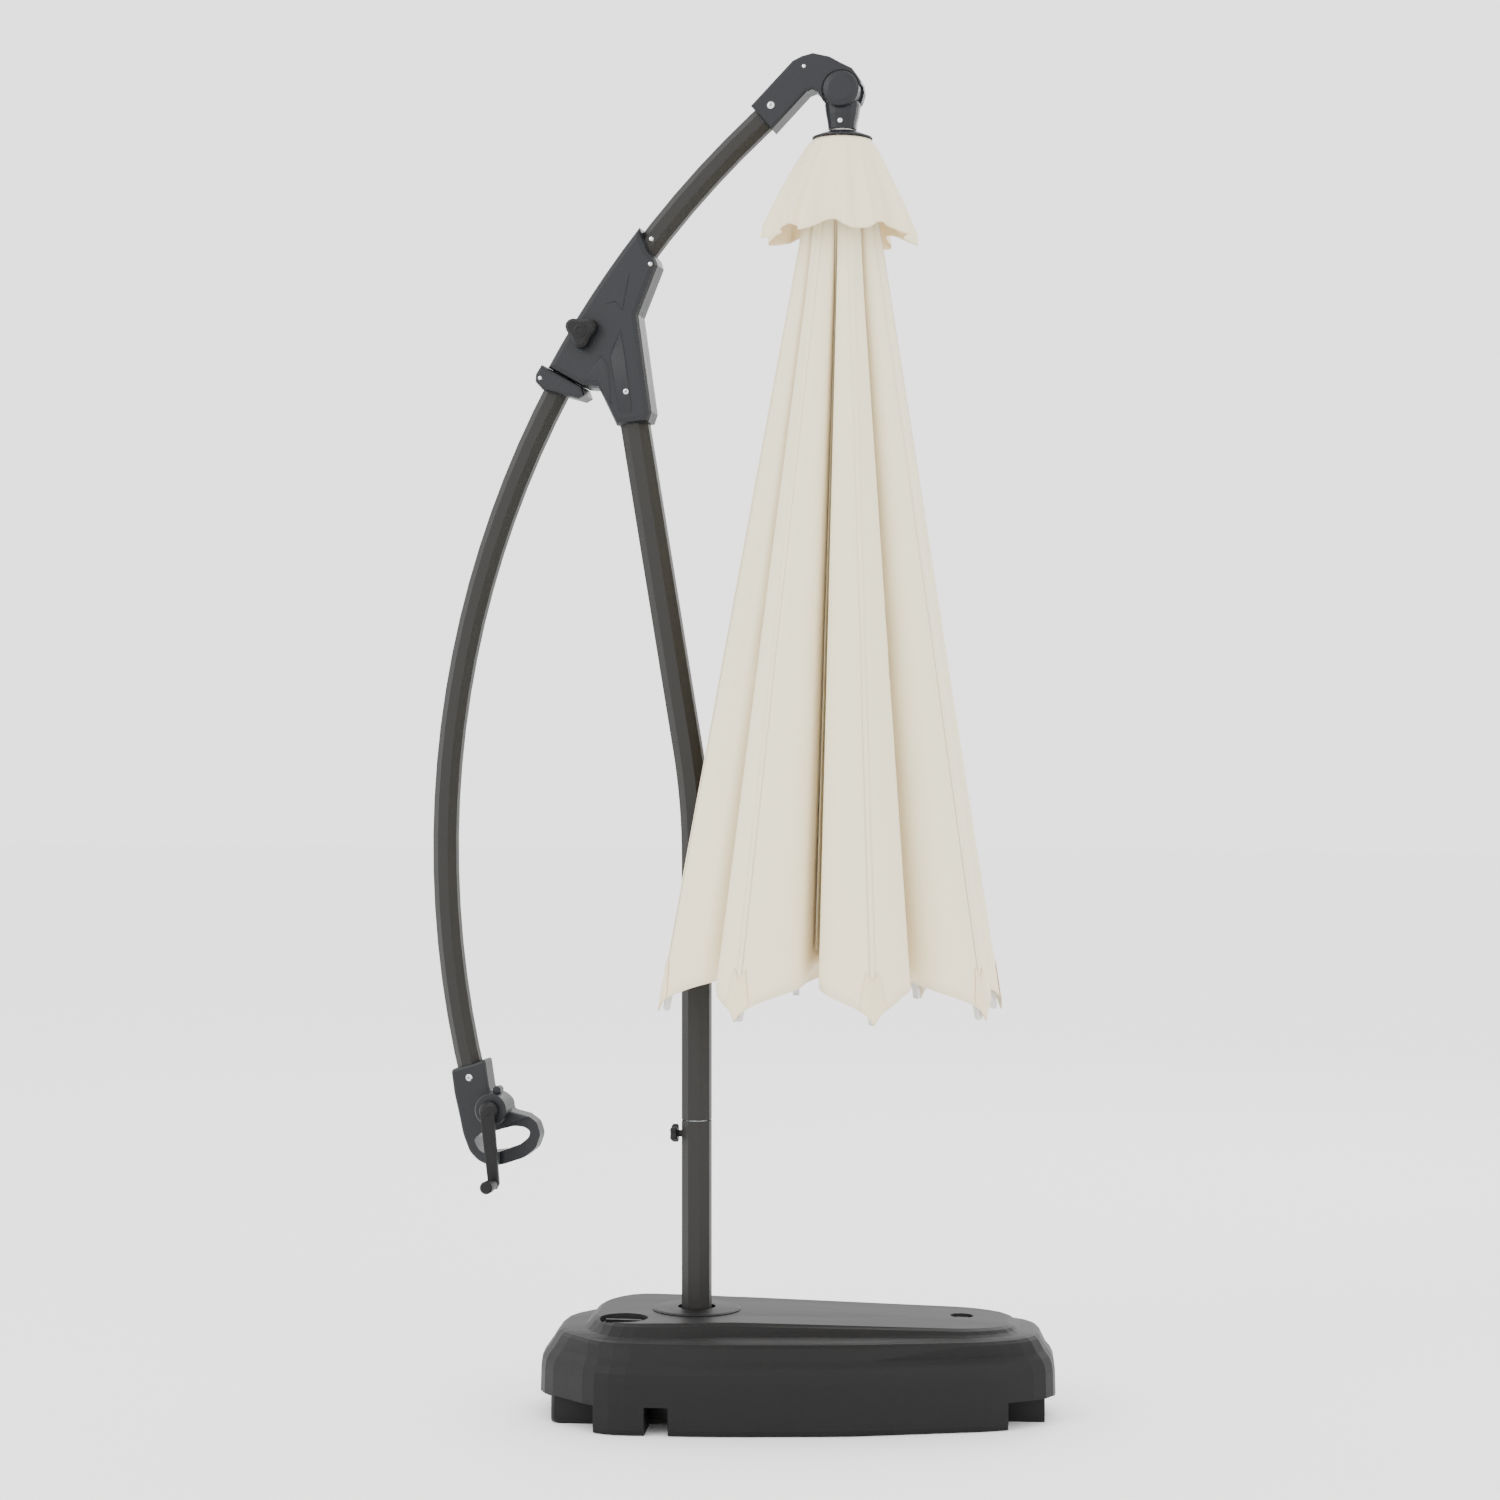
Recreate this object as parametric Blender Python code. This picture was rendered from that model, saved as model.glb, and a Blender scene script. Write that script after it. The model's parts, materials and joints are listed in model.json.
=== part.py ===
"""Cantilever parasol, closed, standing on its filled ground tank.

Frame: the origin is on the floor, on the mast's axis. +Z is up, +X points from the mast
towards the canopy, and the boom's plane is Y = 0. Metres throughout. The boom is one
circular arc that glides through the bracket; the canopy hangs plumb from its head.
"""
import math

import bmesh
import bpy
from mathutils import Matrix, Vector

# ---- driving dimensions -------------------------------------------------------------
GAP = 0.0004                    # between solids that touch

ARC_CENTRE = Vector((1.249, 0.0, 0.992))    # centre of the boom's arc
ARC_RADIUS = 1.710
BOOM_START = math.radians(-14.4)            # angles up from -X, seen from the arc's centre
BOOM_END = math.radians(50.6)
BOOM_FLATS = 0.043              # octagonal tube, across its flats
TUBE_WALL = 0.0015

MAST_FLATS = 0.050
MAST_BEND_HEIGHT = 1.073        # where the straight and the leaning runs would meet
MAST_LEAN = math.radians(9.4)
MAST_BEND_RADIUS = 1.2
MAST_TOP = 1.815
MAST_SEAM = 0.512               # the upper mast turns on the lower one here
SPIGOT_RADIUS = 0.0215
SPIGOT_INSET = 0.18             # how far the spigot reaches to each side of the seam

TANK_YAW = math.radians(6.8)    # the tank stands askew to the boom's plane
TANK_HEIGHT = 0.178
TANK_WALL_TOP = 0.104
SKIRT_HEIGHT = 0.048
MAST_HOLE = 0.0295              # radius of the tank's mast passage
COLLAR_RADIUS = 0.078
FOOT_SIZE = 0.24
FOOT_THICKNESS = 0.008
FOOT_SOCKET_RADIUS = 0.0225
FOOT_SOCKET_HEIGHT = 0.16

HEAD_PIVOT = Vector((0.262, 0.0, 2.3207))
BALL_RADIUS = 0.0325
HEAD_HALF = 0.0275
CHEEK_FACE = 0.0030             # the drum is on the near side of this plane
NECK_BOTTOM = 2.2545
DISC_HEIGHT = 2.243
DISC_RADIUS = 0.053

HUB_HEIGHT = 2.213              # plane of the rib pivots
RIB_COUNT = 8
RIB_PIVOT_RADIUS = 0.033
RIB_LENGTH = 1.525
RIB_CLOSED = math.radians(9.9)              # rib from the post when closed
RIB_HEIGHT = 0.016
RIB_WIDTH = 0.010
STRUT_AT = 0.42                 # along the rib
STRUT_LENGTH = 0.44
STRUT_HEIGHT = 0.012
STRUT_WIDTH = 0.005
POST_RADIUS = 0.019
POST_LENGTH = 0.91              # below the hub
HUB_RADIUS = 0.045
HUB_HALF = 0.010
RUNNER_RADIUS = 0.052
RUNNER_PIVOT_RADIUS = 0.045
RUNNER_HALF = 0.022
CANOPY_LEAN = math.radians(0.7)             # as it hangs, its foot is nearer the mast

CLOTH = 0.002
CLOTH_OFF_RIB = 0.0025          # air between a rib and the cloth over it
VALLEY = 0.60                   # depth of the folds: valley radius over ridge radius
RIDGE_HALF = 0.0130             # half width of the flat cloth over a rib
HEM_RISE = 0.085                # the hem between ribs hangs this much higher
VENT_DROP = 0.165
VENT_RADIUS = 0.138

BRACKET_HALF = 0.036            # half the bracket's thickness
SLEEVE = 0.0285                 # outer wall of the bracket beyond the boom's centre line
CLASP_HALF = 0.037
PAD_CLEARANCE = 0.0008          # boom to glide pad, well over the 0.3 mm that its facets cut in
PAD_THICKNESS = 0.0010
PIN_RADIUS = 0.0028
BOOM_STOP = math.radians(39.1)
KNOB_POINT = Vector((-0.1984, 0.0, 1.9067))
THUMB_HEIGHT = 0.488

CRANK_AXIS = Vector((-0.363, 0.0, 0.528))
CRANK_LENGTH = 0.128
CRANK_OFFSET = 0.0125           # how far the grip hangs towards +X
HOUSING_HALF = 0.026
WINCH_FACE = -0.058             # near face of the winch's round boss
DRUM_RADIUS = 0.012
FLANGE_RADIUS = 0.019


# ---- materials ------------------------------------------------------------------------
def material(name, colour, roughness, metallic=0.0):
    """A Principled material with one colour."""
    found = bpy.data.materials.get(name)
    if found:
        return found
    made = bpy.data.materials.new(name)
    made.use_nodes = True
    shader = made.node_tree.nodes["Principled BSDF"]
    shader.inputs["Base Color"].default_value = (*colour, 1.0)
    shader.inputs["Roughness"].default_value = roughness
    shader.inputs["Metallic"].default_value = metallic
    made.diffuse_color = (*colour, 1.0)
    return made


def powder_coat():
    return material("powder_coat", (0.070, 0.070, 0.068), 0.55, 0.2)


def black_plastic():
    return material("black_plastic", (0.028, 0.029, 0.031), 0.5)


def tank_plastic():
    return material("tank_plastic", (0.022, 0.022, 0.023), 0.6)


def pad_nylon():
    return material("pad_nylon", (0.55, 0.55, 0.53), 0.5)


def white_metal():
    return material("white_metal", (0.62, 0.61, 0.58), 0.45, 0.3)


def bright_steel():
    return material("bright_steel", (0.62, 0.63, 0.64), 0.3, 1.0)


def canopy_cloth():
    return material("canopy_cloth", (0.83, 0.79, 0.68), 0.85)


# ---- shapes -----------------------------------------------------------------------------
def body(name, at):
    """An empty on a joint's axis, the parent of the pieces that move about it."""
    empty = bpy.data.objects.new(name, None)
    empty.location = at
    bpy.context.collection.objects.link(empty)
    return empty


def add_part(name, points, faces, finish, parent):
    """A named object from points in the part's frame, with its origin at its parent's."""
    mesh = bpy.data.meshes.new(name)
    base = parent.location if parent else Vector()
    mesh.from_pydata([Vector(p) - base for p in points], [], faces)
    work = bmesh.new()
    work.from_mesh(mesh)
    bmesh.ops.remove_doubles(work, verts=work.verts, dist=1e-6)
    bmesh.ops.recalc_face_normals(work, faces=work.faces)
    work.to_mesh(mesh)
    work.free()
    mesh.materials.append(finish)
    mesh.shade_smooth()
    mesh.set_sharp_from_angle(angle=math.radians(35))
    made = bpy.data.objects.new(name, mesh)
    made.parent = parent
    bpy.context.collection.objects.link(made)
    return made


def merge_shapes(*shapes):
    """Several shapes as one list of points and faces."""
    points, faces = [], []
    for more_points, more_faces in shapes:
        start = len(points)
        points += [tuple(p) for p in more_points]
        faces += [tuple(start + i for i in face) for face in more_faces]
    return points, faces


def loft(rings):
    """A closed solid through rings of equal count, with flat ends."""
    count = len(rings[0])
    points = [p for ring in rings for p in ring]
    faces = [tuple(reversed(range(count)))]
    for row in range(len(rings) - 1):
        a, b = row * count, (row + 1) * count
        faces += [(a + i, a + (i + 1) % count, b + (i + 1) % count, b + i) for i in range(count)]
    last = (len(rings) - 1) * count
    faces.append(tuple(range(last, last + count)))
    return points, faces


def pipe(outer, inner):
    """A closed hollow solid between an outer and an inner list of rings."""
    count, rows = len(outer[0]), len(outer)
    points = [p for ring in outer for p in ring] + [p for ring in inner for p in ring]
    hollow = rows * count
    faces = []
    for row in range(rows - 1):
        a, b = row * count, (row + 1) * count
        for i in range(count):
            j = (i + 1) % count
            faces.append((a + i, a + j, b + j, b + i))
            faces.append((hollow + b + i, hollow + b + j, hollow + a + j, hollow + a + i))
    for row in (0, rows - 1):
        a = row * count
        faces += [(a + i, a + (i + 1) % count, hollow + a + (i + 1) % count, hollow + a + i)
                  for i in range(count)]
    return points, faces


def turned(profile, centre, axis=(0, 0, 1), steps=24, closed=False):
    """A solid of revolution: (radius, height) points about an axis; closed for a ring."""
    turn = Vector((0, 0, 1)).rotation_difference(Vector(axis)).to_matrix()
    points, rows = [], []
    for radius, height in profile:
        if radius < 1e-6:
            rows.append([len(points)] * steps)
            points.append(Vector(centre) + turn @ Vector((0, 0, height)))
            continue
        rows.append(list(range(len(points), len(points) + steps)))
        for i in range(steps):
            angle = 2 * math.pi * i / steps
            spot = Vector((radius * math.cos(angle), radius * math.sin(angle), height))
            points.append(Vector(centre) + turn @ spot)
    pairs = list(zip(rows, rows[1:] + rows[:1])) if closed else list(zip(rows, rows[1:]))
    faces = []
    for low, high in pairs:
        for i in range(steps):
            j = (i + 1) % steps
            ring = [low[i], low[j], high[j], high[i]]
            faces.append(tuple(dict.fromkeys(ring)))
    if not closed:
        for row, at_start in ((rows[0], True), (rows[-1], False)):
            if row[0] != row[1]:
                faces.append(tuple(reversed(row)) if at_start else tuple(row))
    return points, faces


def octagon(flats):
    """The eight corners of a tube's section, with flats facing both axes."""
    radius = flats / 2 / math.cos(math.pi / 8)
    return [(radius * math.cos(math.pi / 8 + k * math.pi / 4),
             radius * math.sin(math.pi / 8 + k * math.pi / 4)) for k in range(8)]


def section_rings(path, flats):
    """Octagonal rings along a path of (point, normal) pairs in the boom's plane."""
    return [[spot + normal * x + Vector((0, y, 0)) for x, y in octagon(flats)]
            for spot, normal in path]


def octagonal_tube(path, flats):
    return pipe(section_rings(path, flats), section_rings(path, flats - 2 * TUBE_WALL))


def arc_point(angle, radius=ARC_RADIUS, y=0.0):
    """A point seen from the boom's arc centre, at an angle up from -X."""
    return ARC_CENTRE + Vector((-radius * math.cos(angle), y, radius * math.sin(angle)))


def arc_path(start, end, steps):
    """Points and outward normals along the boom's arc."""
    path = []
    for i in range(steps + 1):
        angle = start + (end - start) * i / steps
        path.append((arc_point(angle), Vector((-math.cos(angle), 0, math.sin(angle)))))
    return path


def mast_path(bottom, top, bend_steps=8):
    """The upper mast: straight, a bend, then leaning back over -X."""
    tangent = MAST_BEND_RADIUS * math.tan(MAST_LEAN / 2)
    path = [(Vector((0, 0, bottom)), Vector((1, 0, 0)))]
    for i in range(bend_steps + 1):
        angle = MAST_LEAN * i / bend_steps
        spot = Vector((MAST_BEND_RADIUS * (math.cos(angle) - 1), 0,
                       MAST_BEND_HEIGHT - tangent + MAST_BEND_RADIUS * math.sin(angle)))
        path.append((spot, Vector((math.cos(angle), 0, math.sin(angle)))))
    last, normal = path[-1]
    along = Vector((-math.sin(MAST_LEAN), 0, math.cos(MAST_LEAN)))
    path.append((last + along * (top - last.z) / along.z, normal))
    return path


def lean_point(height, across=0.0, y=0.0):
    """A point on the mast's leaning run, offset across it in the boom's plane."""
    spot, normal = mast_path(MAST_SEAM, height)[-1]
    return spot + normal * across + Vector((0, y, 0))


def ccw(outline):
    """A plane outline put into anticlockwise order."""
    area = sum(a[0] * b[1] - b[0] * a[1] for a, b in zip(outline, outline[1:] + outline[:1]))
    return outline if area > 0 else list(reversed(outline))


def inset(outline, distance):
    """A plane outline moved inwards; it runs anticlockwise."""
    made = []
    count = len(outline)
    for i in range(count):
        before, here, after = (Vector(outline[j % count]) for j in (i - 1, i, i + 1))
        first = (here - before).normalized()
        second = (after - here).normalized()
        left = Vector((-first.y, first.x)) + Vector((-second.y, second.x))
        left /= max(1.0 + first.dot(second), 0.2)
        made.append(tuple(here + left * distance))
    return made


def rounded(outline, radius, steps=3):
    """A plane outline with each corner turned into a short arc."""
    made = []
    count = len(outline)
    for i in range(count):
        before, here, after = (Vector(outline[j % count]) for j in (i - 1, i, i + 1))
        reach = min(radius, (before - here).length * 0.45, (after - here).length * 0.45)
        first = here + (before - here).normalized() * reach
        last = here + (after - here).normalized() * reach
        for k in range(steps + 1):
            t = k / steps
            made.append(tuple(first * (1 - t) ** 2 + here * 2 * t * (1 - t) + last * t * t))
    return made


def slab(outline, y_from, y_to, chamfer_from=0.0, chamfer_to=0.0):
    """A plate in the XZ plane; either side may be chamfered."""
    levels = [(y_from, chamfer_from), (y_from + chamfer_from * 0.3, chamfer_from * 0.3),
              (y_from + chamfer_from, 0.0), (y_to - chamfer_to, 0.0),
              (y_to - chamfer_to * 0.3, chamfer_to * 0.3), (y_to, chamfer_to)]
    rings = []
    for y, cut in levels:
        if rings and abs(rings[-1][0][1] - y) < 1e-9:
            continue
        rings.append([(x, y, z) for x, z in (inset(outline, cut) if cut else outline)])
    return loft(rings)


def block(low, high):
    """A box between two corners."""
    (x0, y0, z0), (x1, y1, z1) = low, high
    return loft([[(x0, y0, z), (x1, y0, z), (x1, y1, z), (x0, y1, z)] for z in (z0, z1)])


def cut(target, shape, parent=None, operation="DIFFERENCE"):
    """A Boolean with a hidden solid, left as a modifier."""
    cutter = add_part(f"cut_{target.name}_{len(target.modifiers)}", *shape, black_plastic(), parent)
    cutter.hide_render = True
    cutter.display_type = "WIRE"
    modifier = target.modifiers.new(cutter.name, "BOOLEAN")
    modifier.operation = operation
    modifier.solver = "EXACT"
    modifier.object = cutter
    return cutter


# ---- ground tank and foot -----------------------------------------------------------------
TANK_SIDE = [(-0.272, -0.092), (-0.150, -0.219), (0.050, -0.221), (0.270, -0.203),
             (0.533, -0.142), (0.632, -0.085)]
SHOULDER_SIDE = [(-0.236, -0.080), (-0.142, -0.184), (0.050, -0.188), (0.270, -0.171),
                 (0.516, -0.129), (0.598, -0.078)]
PLATEAU_SIDE = [(-0.182, -0.080), (-0.130, -0.160), (0.000, -0.148), (0.055, -0.136),
                (0.488, -0.114), (0.560, -0.072)]
FILLER = (-0.119, -0.092)       # filler cap, in the tank's own frame
DRAIN = (0.468, 0.020)
CAP_RADIUS = 0.038
DRAIN_RADIUS = 0.016
CAP_DEPTH = 0.014


def both_sides(side):
    """A symmetric outline from its near half."""
    return side + [(u, -v) for u, v in reversed(side)]


def tank_ring(side, drawn_in, height, corner, fall=0.0):
    outline = inset(both_sides(side), drawn_in) if drawn_in else both_sides(side)
    turn = Matrix.Rotation(TANK_YAW, 4, "Z")
    return [turn @ Vector((u, v, height - fall * max(u - 0.09, 0.0)))
            for u, v in rounded(outline, corner)]


def in_tank(shape):
    """A shape drawn in the tank's own frame, turned into the part's."""
    points, faces = shape
    turn = Matrix.Rotation(TANK_YAW, 4, "Z")
    return [turn @ Vector(p) for p in points], faces


def build_tank():
    """The blow-moulded tank, its mast passage, foot recess, channel and cut-away corners."""
    rings = [
        tank_ring(TANK_SIDE, 0.008, 0.0, 0.045),
        tank_ring(TANK_SIDE, 0.002, 0.003, 0.045),
        tank_ring(TANK_SIDE, 0.0, 0.010, 0.045),
        tank_ring(TANK_SIDE, 0.002, TANK_WALL_TOP - 0.014, 0.045),
        tank_ring(TANK_SIDE, 0.004, TANK_WALL_TOP, 0.045),
        tank_ring(TANK_SIDE, 0.009, TANK_WALL_TOP + 0.011, 0.045),
        tank_ring(TANK_SIDE, 0.017, TANK_WALL_TOP + 0.021, 0.045),
        tank_ring(SHOULDER_SIDE, -0.006, 0.146, 0.045),
        tank_ring(SHOULDER_SIDE, 0.0, 0.151, 0.045),
        tank_ring(SHOULDER_SIDE, 0.006, 0.153, 0.045),
        tank_ring(PLATEAU_SIDE, -0.010, 0.158, 0.040, 0.006),
        tank_ring(PLATEAU_SIDE, -0.003, 0.165, 0.040, 0.014),
        tank_ring(PLATEAU_SIDE, 0.003, 0.173, 0.040, 0.020),
        tank_ring(PLATEAU_SIDE, 0.012, TANK_HEIGHT, 0.036, 0.024),
    ]
    tank = add_part("base_tank", *loft(rings), tank_plastic(), None)
    deep = -0.02
    top = TANK_HEIGHT
    collar = [(COLLAR_RADIUS, top - 0.006), (COLLAR_RADIUS, top + 0.0015),
              (COLLAR_RADIUS - 0.004, top + 0.0035), (MAST_HOLE + 0.014, top + 0.0050),
              (MAST_HOLE + 0.004, top + 0.0050), (MAST_HOLE + 0.004, top - 0.006)]
    cut(tank, turned(collar, (0, 0, 0), steps=32, closed=True), None, "UNION")
    cut(tank, turned([(MAST_HOLE, deep), (MAST_HOLE, top + 0.05)], (0, 0, 0)))
    recess = FOOT_SIZE / 2 + 0.012
    cut(tank, in_tank(block((-recess, -recess, deep), (recess, recess, FOOT_THICKNESS + 0.010))))
    cut(tank, in_tank(block((-0.071, -0.30, deep), (-0.030, 0.30, SKIRT_HEIGHT + 0.001))))
    for side in (-1, 1):
        for u_from, u_to, v_from, v_to, height in (
                (0.548, 0.70, 0.058, 0.25, SKIRT_HEIGHT),
                (0.612, 0.70, -0.01, 0.070, SKIRT_HEIGHT - 0.002),
                (-0.40, -0.160, 0.128, 0.30, SKIRT_HEIGHT),
                (-0.40, -0.243, -0.01, 0.140, SKIRT_HEIGHT - 0.002)):
            v_low, v_high = sorted((side * v_from, side * v_to))
            cut(tank, in_tank(block((u_from, v_low, deep), (u_to, v_high, height))))
    for spot, radius in ((FILLER, CAP_RADIUS), (DRAIN, DRAIN_RADIUS)):
        floor = plateau_height(spot) - CAP_DEPTH
        well = [(radius + 0.002, floor), (radius + 0.006, floor + CAP_DEPTH + 0.01)]
        cut(tank, turned(well, tank_to_world(spot), steps=28))
    return tank


def plateau_height(spot):
    return TANK_HEIGHT - 0.024 * max(spot[0] - 0.09, 0.0)


def tank_to_world(spot):
    """A point of the tank's frame, seen in the part's."""
    return Matrix.Rotation(TANK_YAW, 4, "Z") @ Vector((*spot, 0.0))


def build_caps():
    """The filler's screw cap with its grip bar, and the smaller drain plug."""
    for name, spot, radius in (("filler_cap", FILLER, CAP_RADIUS),
                               ("drain_cap", DRAIN, DRAIN_RADIUS)):
        at = tank_to_world(spot)
        axis = body(f"{name}_axis", at)
        floor = plateau_height(spot) - CAP_DEPTH + GAP
        disc = turned([(radius, floor), (radius, floor + 0.004), (radius - 0.002, floor + 0.006)],
                      at, steps=28)
        cap = add_part(name, *disc, tank_plastic(), axis)
        bar = radius - 0.006
        cut(cap, block((at.x - bar, at.y - 0.004, floor + 0.003),
                       (at.x + bar, at.y + 0.004, floor + 0.0105)), axis, "UNION")


def build_foot():
    """Steel foot plate on the floor with the socket that the mast stands over."""
    half = FOOT_SIZE / 2
    turn = Matrix.Rotation(TANK_YAW, 4, "Z")
    plate = [[turn @ Vector((x, y, z)) for x, y in
              ((-half, -half), (half, -half), (half, half), (-half, half))]
             for z in (0.0, FOOT_THICKNESS)]
    foot = add_part("foot_plate", *loft(plate), powder_coat(), None)
    socket = turned([(FOOT_SOCKET_RADIUS, FOOT_THICKNESS - 0.002),
                     (FOOT_SOCKET_RADIUS, FOOT_SOCKET_HEIGHT),
                     (FOOT_SOCKET_RADIUS - 0.003, FOOT_SOCKET_HEIGHT),
                     (FOOT_SOCKET_RADIUS - 0.003, FOOT_THICKNESS - 0.002)],
                    (0, 0, 0), closed=True)
    cut(foot, socket, None, "UNION")


# ---- mast ---------------------------------------------------------------------------------
def build_mast(mast):
    up = Vector((1, 0, 0))
    lower = [(Vector((0, 0, FOOT_THICKNESS + GAP)), up), (Vector((0, 0, MAST_SEAM)), up)]
    add_part("mast_lower", *octagonal_tube(lower, MAST_FLATS), powder_coat(), None)
    low = MAST_SEAM - SPIGOT_INSET
    high = MAST_SEAM + SPIGOT_INSET
    inner = SPIGOT_RADIUS - 0.002
    spigot = turned([(SPIGOT_RADIUS, low), (SPIGOT_RADIUS, high), (inner, high), (inner, low)],
                    (0, 0, 0), closed=True)
    add_part("mast_spigot", *spigot, bright_steel(), mast)
    add_part("mast_upper", *octagonal_tube(mast_path(MAST_SEAM + 0.0015, MAST_TOP), MAST_FLATS),
             powder_coat(), mast)


def build_thumb_screw():
    """The clamp screw below the mast's seam, with a five-lobed head."""
    face = -MAST_FLATS / 2 - GAP
    axis = body("thumb_screw_axis", (0, 0, THUMB_HEIGHT))
    stem = turned([(0.006, face), (0.006, face - 0.009)], (0, 0, THUMB_HEIGHT), (1, 0, 0), 12)
    lobes = []
    for i in range(30):
        angle = 2 * math.pi * i / 30
        radius = 0.0145 + 0.0025 * math.cos(5 * angle)
        lobes.append((radius * math.cos(angle), radius * math.sin(angle)))
    head = loft([[(x, y, THUMB_HEIGHT + z) for y, z in ring] for x, ring in
                 ((face - 0.0205, inset(lobes, 0.0025)), (face - 0.018, lobes),
                  (face - 0.010, lobes), (face - 0.008, inset(lobes, 0.0025)))])
    screw = add_part("thumb_screw", *head, black_plastic(), axis)
    cut(screw, stem, axis, "UNION")


# ---- bracket --------------------------------------------------------------------------------
def bracket_outline():
    """The sleeve's outer arc, the throat, the mast socket and the clasp's bay."""
    top, bottom = math.radians(39.2), math.radians(29.46)
    outer = [arc_point(top + (bottom - top) * i / 6, ARC_RADIUS + SLEEVE) for i in range(7)]
    outer.append(arc_point(bottom, ARC_RADIUS - 0.046))
    points = [(p.x, p.z) for p in outer]
    points += [(-0.1715, 1.8080), (-0.1396, 1.7420)]
    foot = lean_point(1.742, MAST_FLATS / 2 + 0.004)
    points += [(foot.x, foot.z), (-0.0762, 1.764), (-0.1002, 1.936),
               (-0.0650, 2.0226), (-0.0695, 2.0364), (-0.0815, 2.0500)]
    return ccw(points)


def pin_solid(spot, half, shaft, head, dome=0.0026):
    """A through pin along Y with a domed head on each face of its housing."""
    flat = half + GAP
    return turned([(0.0, -flat - dome), (head * 0.7, -flat - dome * 0.7), (head, -flat),
                   (shaft, -flat), (shaft, flat), (head, flat),
                   (head * 0.7, flat + dome * 0.7), (0.0, flat + dome)],
                  (spot.x, 0, spot.z), (0, 1, 0), 16)


def hole(spot, radius, half=0.06):
    """The cutter for a bore along Y."""
    return turned([(radius, -half), (radius, half)], (spot.x, 0, spot.z), (0, 1, 0), 20)


def build_bracket(mast):
    """Two moulded halves, the clasp, glide pads, pins and the mast's screw."""
    lean = lean_point(1.70, 1) - lean_point(1.70)
    bore = BOOM_FLATS + 2 * (PAD_CLEARANCE + PAD_THICKNESS + GAP)
    boom_way = section_rings(arc_path(math.radians(27), math.radians(41.5), 10), bore)
    mast_way = section_rings([(lean_point(1.69), lean), (lean_point(MAST_TOP + 0.001), lean)],
                             MAST_FLATS + 2 * GAP)
    pins = {"bracket_pin": Vector((-0.0765, 0.0, 2.0240)),
            "mast_screw": lean_point(1.800)}
    outline = bracket_outline()
    for name, low, high in (("bracket_near", -BRACKET_HALF, -GAP), ("bracket_far", GAP, BRACKET_HALF)):
        chamfers = (0.011, 0.0) if low < -GAP else (0.0, 0.011)
        shell = add_part(name, *slab(outline, low, high, *chamfers), black_plastic(), mast)
        cut(shell, loft(boom_way), mast)
        cut(shell, loft(mast_way), mast)
        for spot in pins.values():
            cut(shell, hole(spot, PIN_RADIUS + 0.0004), mast)
    upper = bpy.data.objects["mast_upper"]
    cut(upper, hole(pins["mast_screw"], PIN_RADIUS + 0.0004), mast)
    build_clasp(mast)
    add_part("bracket_pin", *pin_solid(pins["bracket_pin"], BRACKET_HALF, PIN_RADIUS, 0.0042),
             bright_steel(), mast)
    add_part("mast_screw", *pin_solid(pins["mast_screw"], BRACKET_HALF, PIN_RADIUS, 0.0060),
             bright_steel(), mast)
    inner = BOOM_FLATS / 2 + PAD_CLEARANCE
    outer = inner + PAD_THICKNESS
    for name, degrees, side in (("glide_pad_upper", 37.5, -1), ("glide_pad_lower", 31.5, 1)):
        rings = []
        for step in (-0.5, 0.5):
            angle = math.radians(degrees + step)
            rings.append([arc_point(angle, ARC_RADIUS + side * r, y)
                          for r, y in ((inner, -0.007), (inner, 0.007),
                                       (outer, 0.007), (outer, -0.007))])
        add_part(name, *loft(rings), pad_nylon(), mast)


def build_clasp(mast):
    """The jaw that closes the sleeve's lower mouth around the boom, on its own pin."""
    high = math.radians(29.43)
    left, right = arc_point(high, ARC_RADIUS + 0.0400), arc_point(high, ARC_RADIUS - 0.0440)
    outline = ccw([(left.x, left.z), (-0.2860, 1.8350), (-0.2865, 1.8215), (-0.2735, 1.8075),
                   (-0.2080, 1.7890), (-0.1965, 1.7950), (right.x, right.z)])
    clasp = add_part("bracket_clasp", *slab(outline, -CLASP_HALF, CLASP_HALF, 0.006, 0.006),
                     black_plastic(), mast)
    way = section_rings(arc_path(math.radians(26.5), math.radians(30.5), 3), BOOM_FLATS + 0.003)
    cut(clasp, loft(way), mast)
    spot = Vector((-0.2765, 0.0, 1.8275))
    cut(clasp, hole(spot, PIN_RADIUS + 0.0004), mast)
    add_part("clasp_pin", *pin_solid(spot, CLASP_HALF, PIN_RADIUS, 0.0040), bright_steel(), mast)


def build_lock_knob():
    """The three-cornered knob that clamps the boom in its sleeve."""
    axis = body("lock_knob_axis", KNOB_POINT)
    face = -BRACKET_HALF - GAP
    corners = []
    for i in range(36):
        angle = 2 * math.pi * i / 36
        radius = 0.0262 + 0.0048 * math.cos(3 * (angle - math.radians(28)))
        corners.append((KNOB_POINT.x + radius * math.cos(angle),
                        KNOB_POINT.z + radius * math.sin(angle)))
    levels = ((face, 0.008), (face - 0.005, 0.002), (face - 0.008, 0.0), (face - 0.019, 0.0010),
              (face - 0.024, 0.006))
    rings = [[(x, y, z) for x, z in inset(corners, cut_back)] for y, cut_back in reversed(levels)]
    add_part("lock_knob", *loft(rings), black_plastic(), axis)


# ---- boom, head and crank -------------------------------------------------------------------
def build_boom(boom):
    tube = add_part("boom_tube", *octagonal_tube(arc_path(BOOM_START, BOOM_END, 30), BOOM_FLATS),
                    powder_coat(), boom)
    stop = arc_point(BOOM_STOP)
    cut(tube, hole(stop, PIN_RADIUS + 0.0004), boom)
    add_part("boom_stop", *pin_solid(stop, BOOM_FLATS / 2, PIN_RADIUS, 0.0045, 0.0020),
             bright_steel(), boom)
    build_head(boom, tube)
    build_crank_housing(boom, tube)


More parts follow.
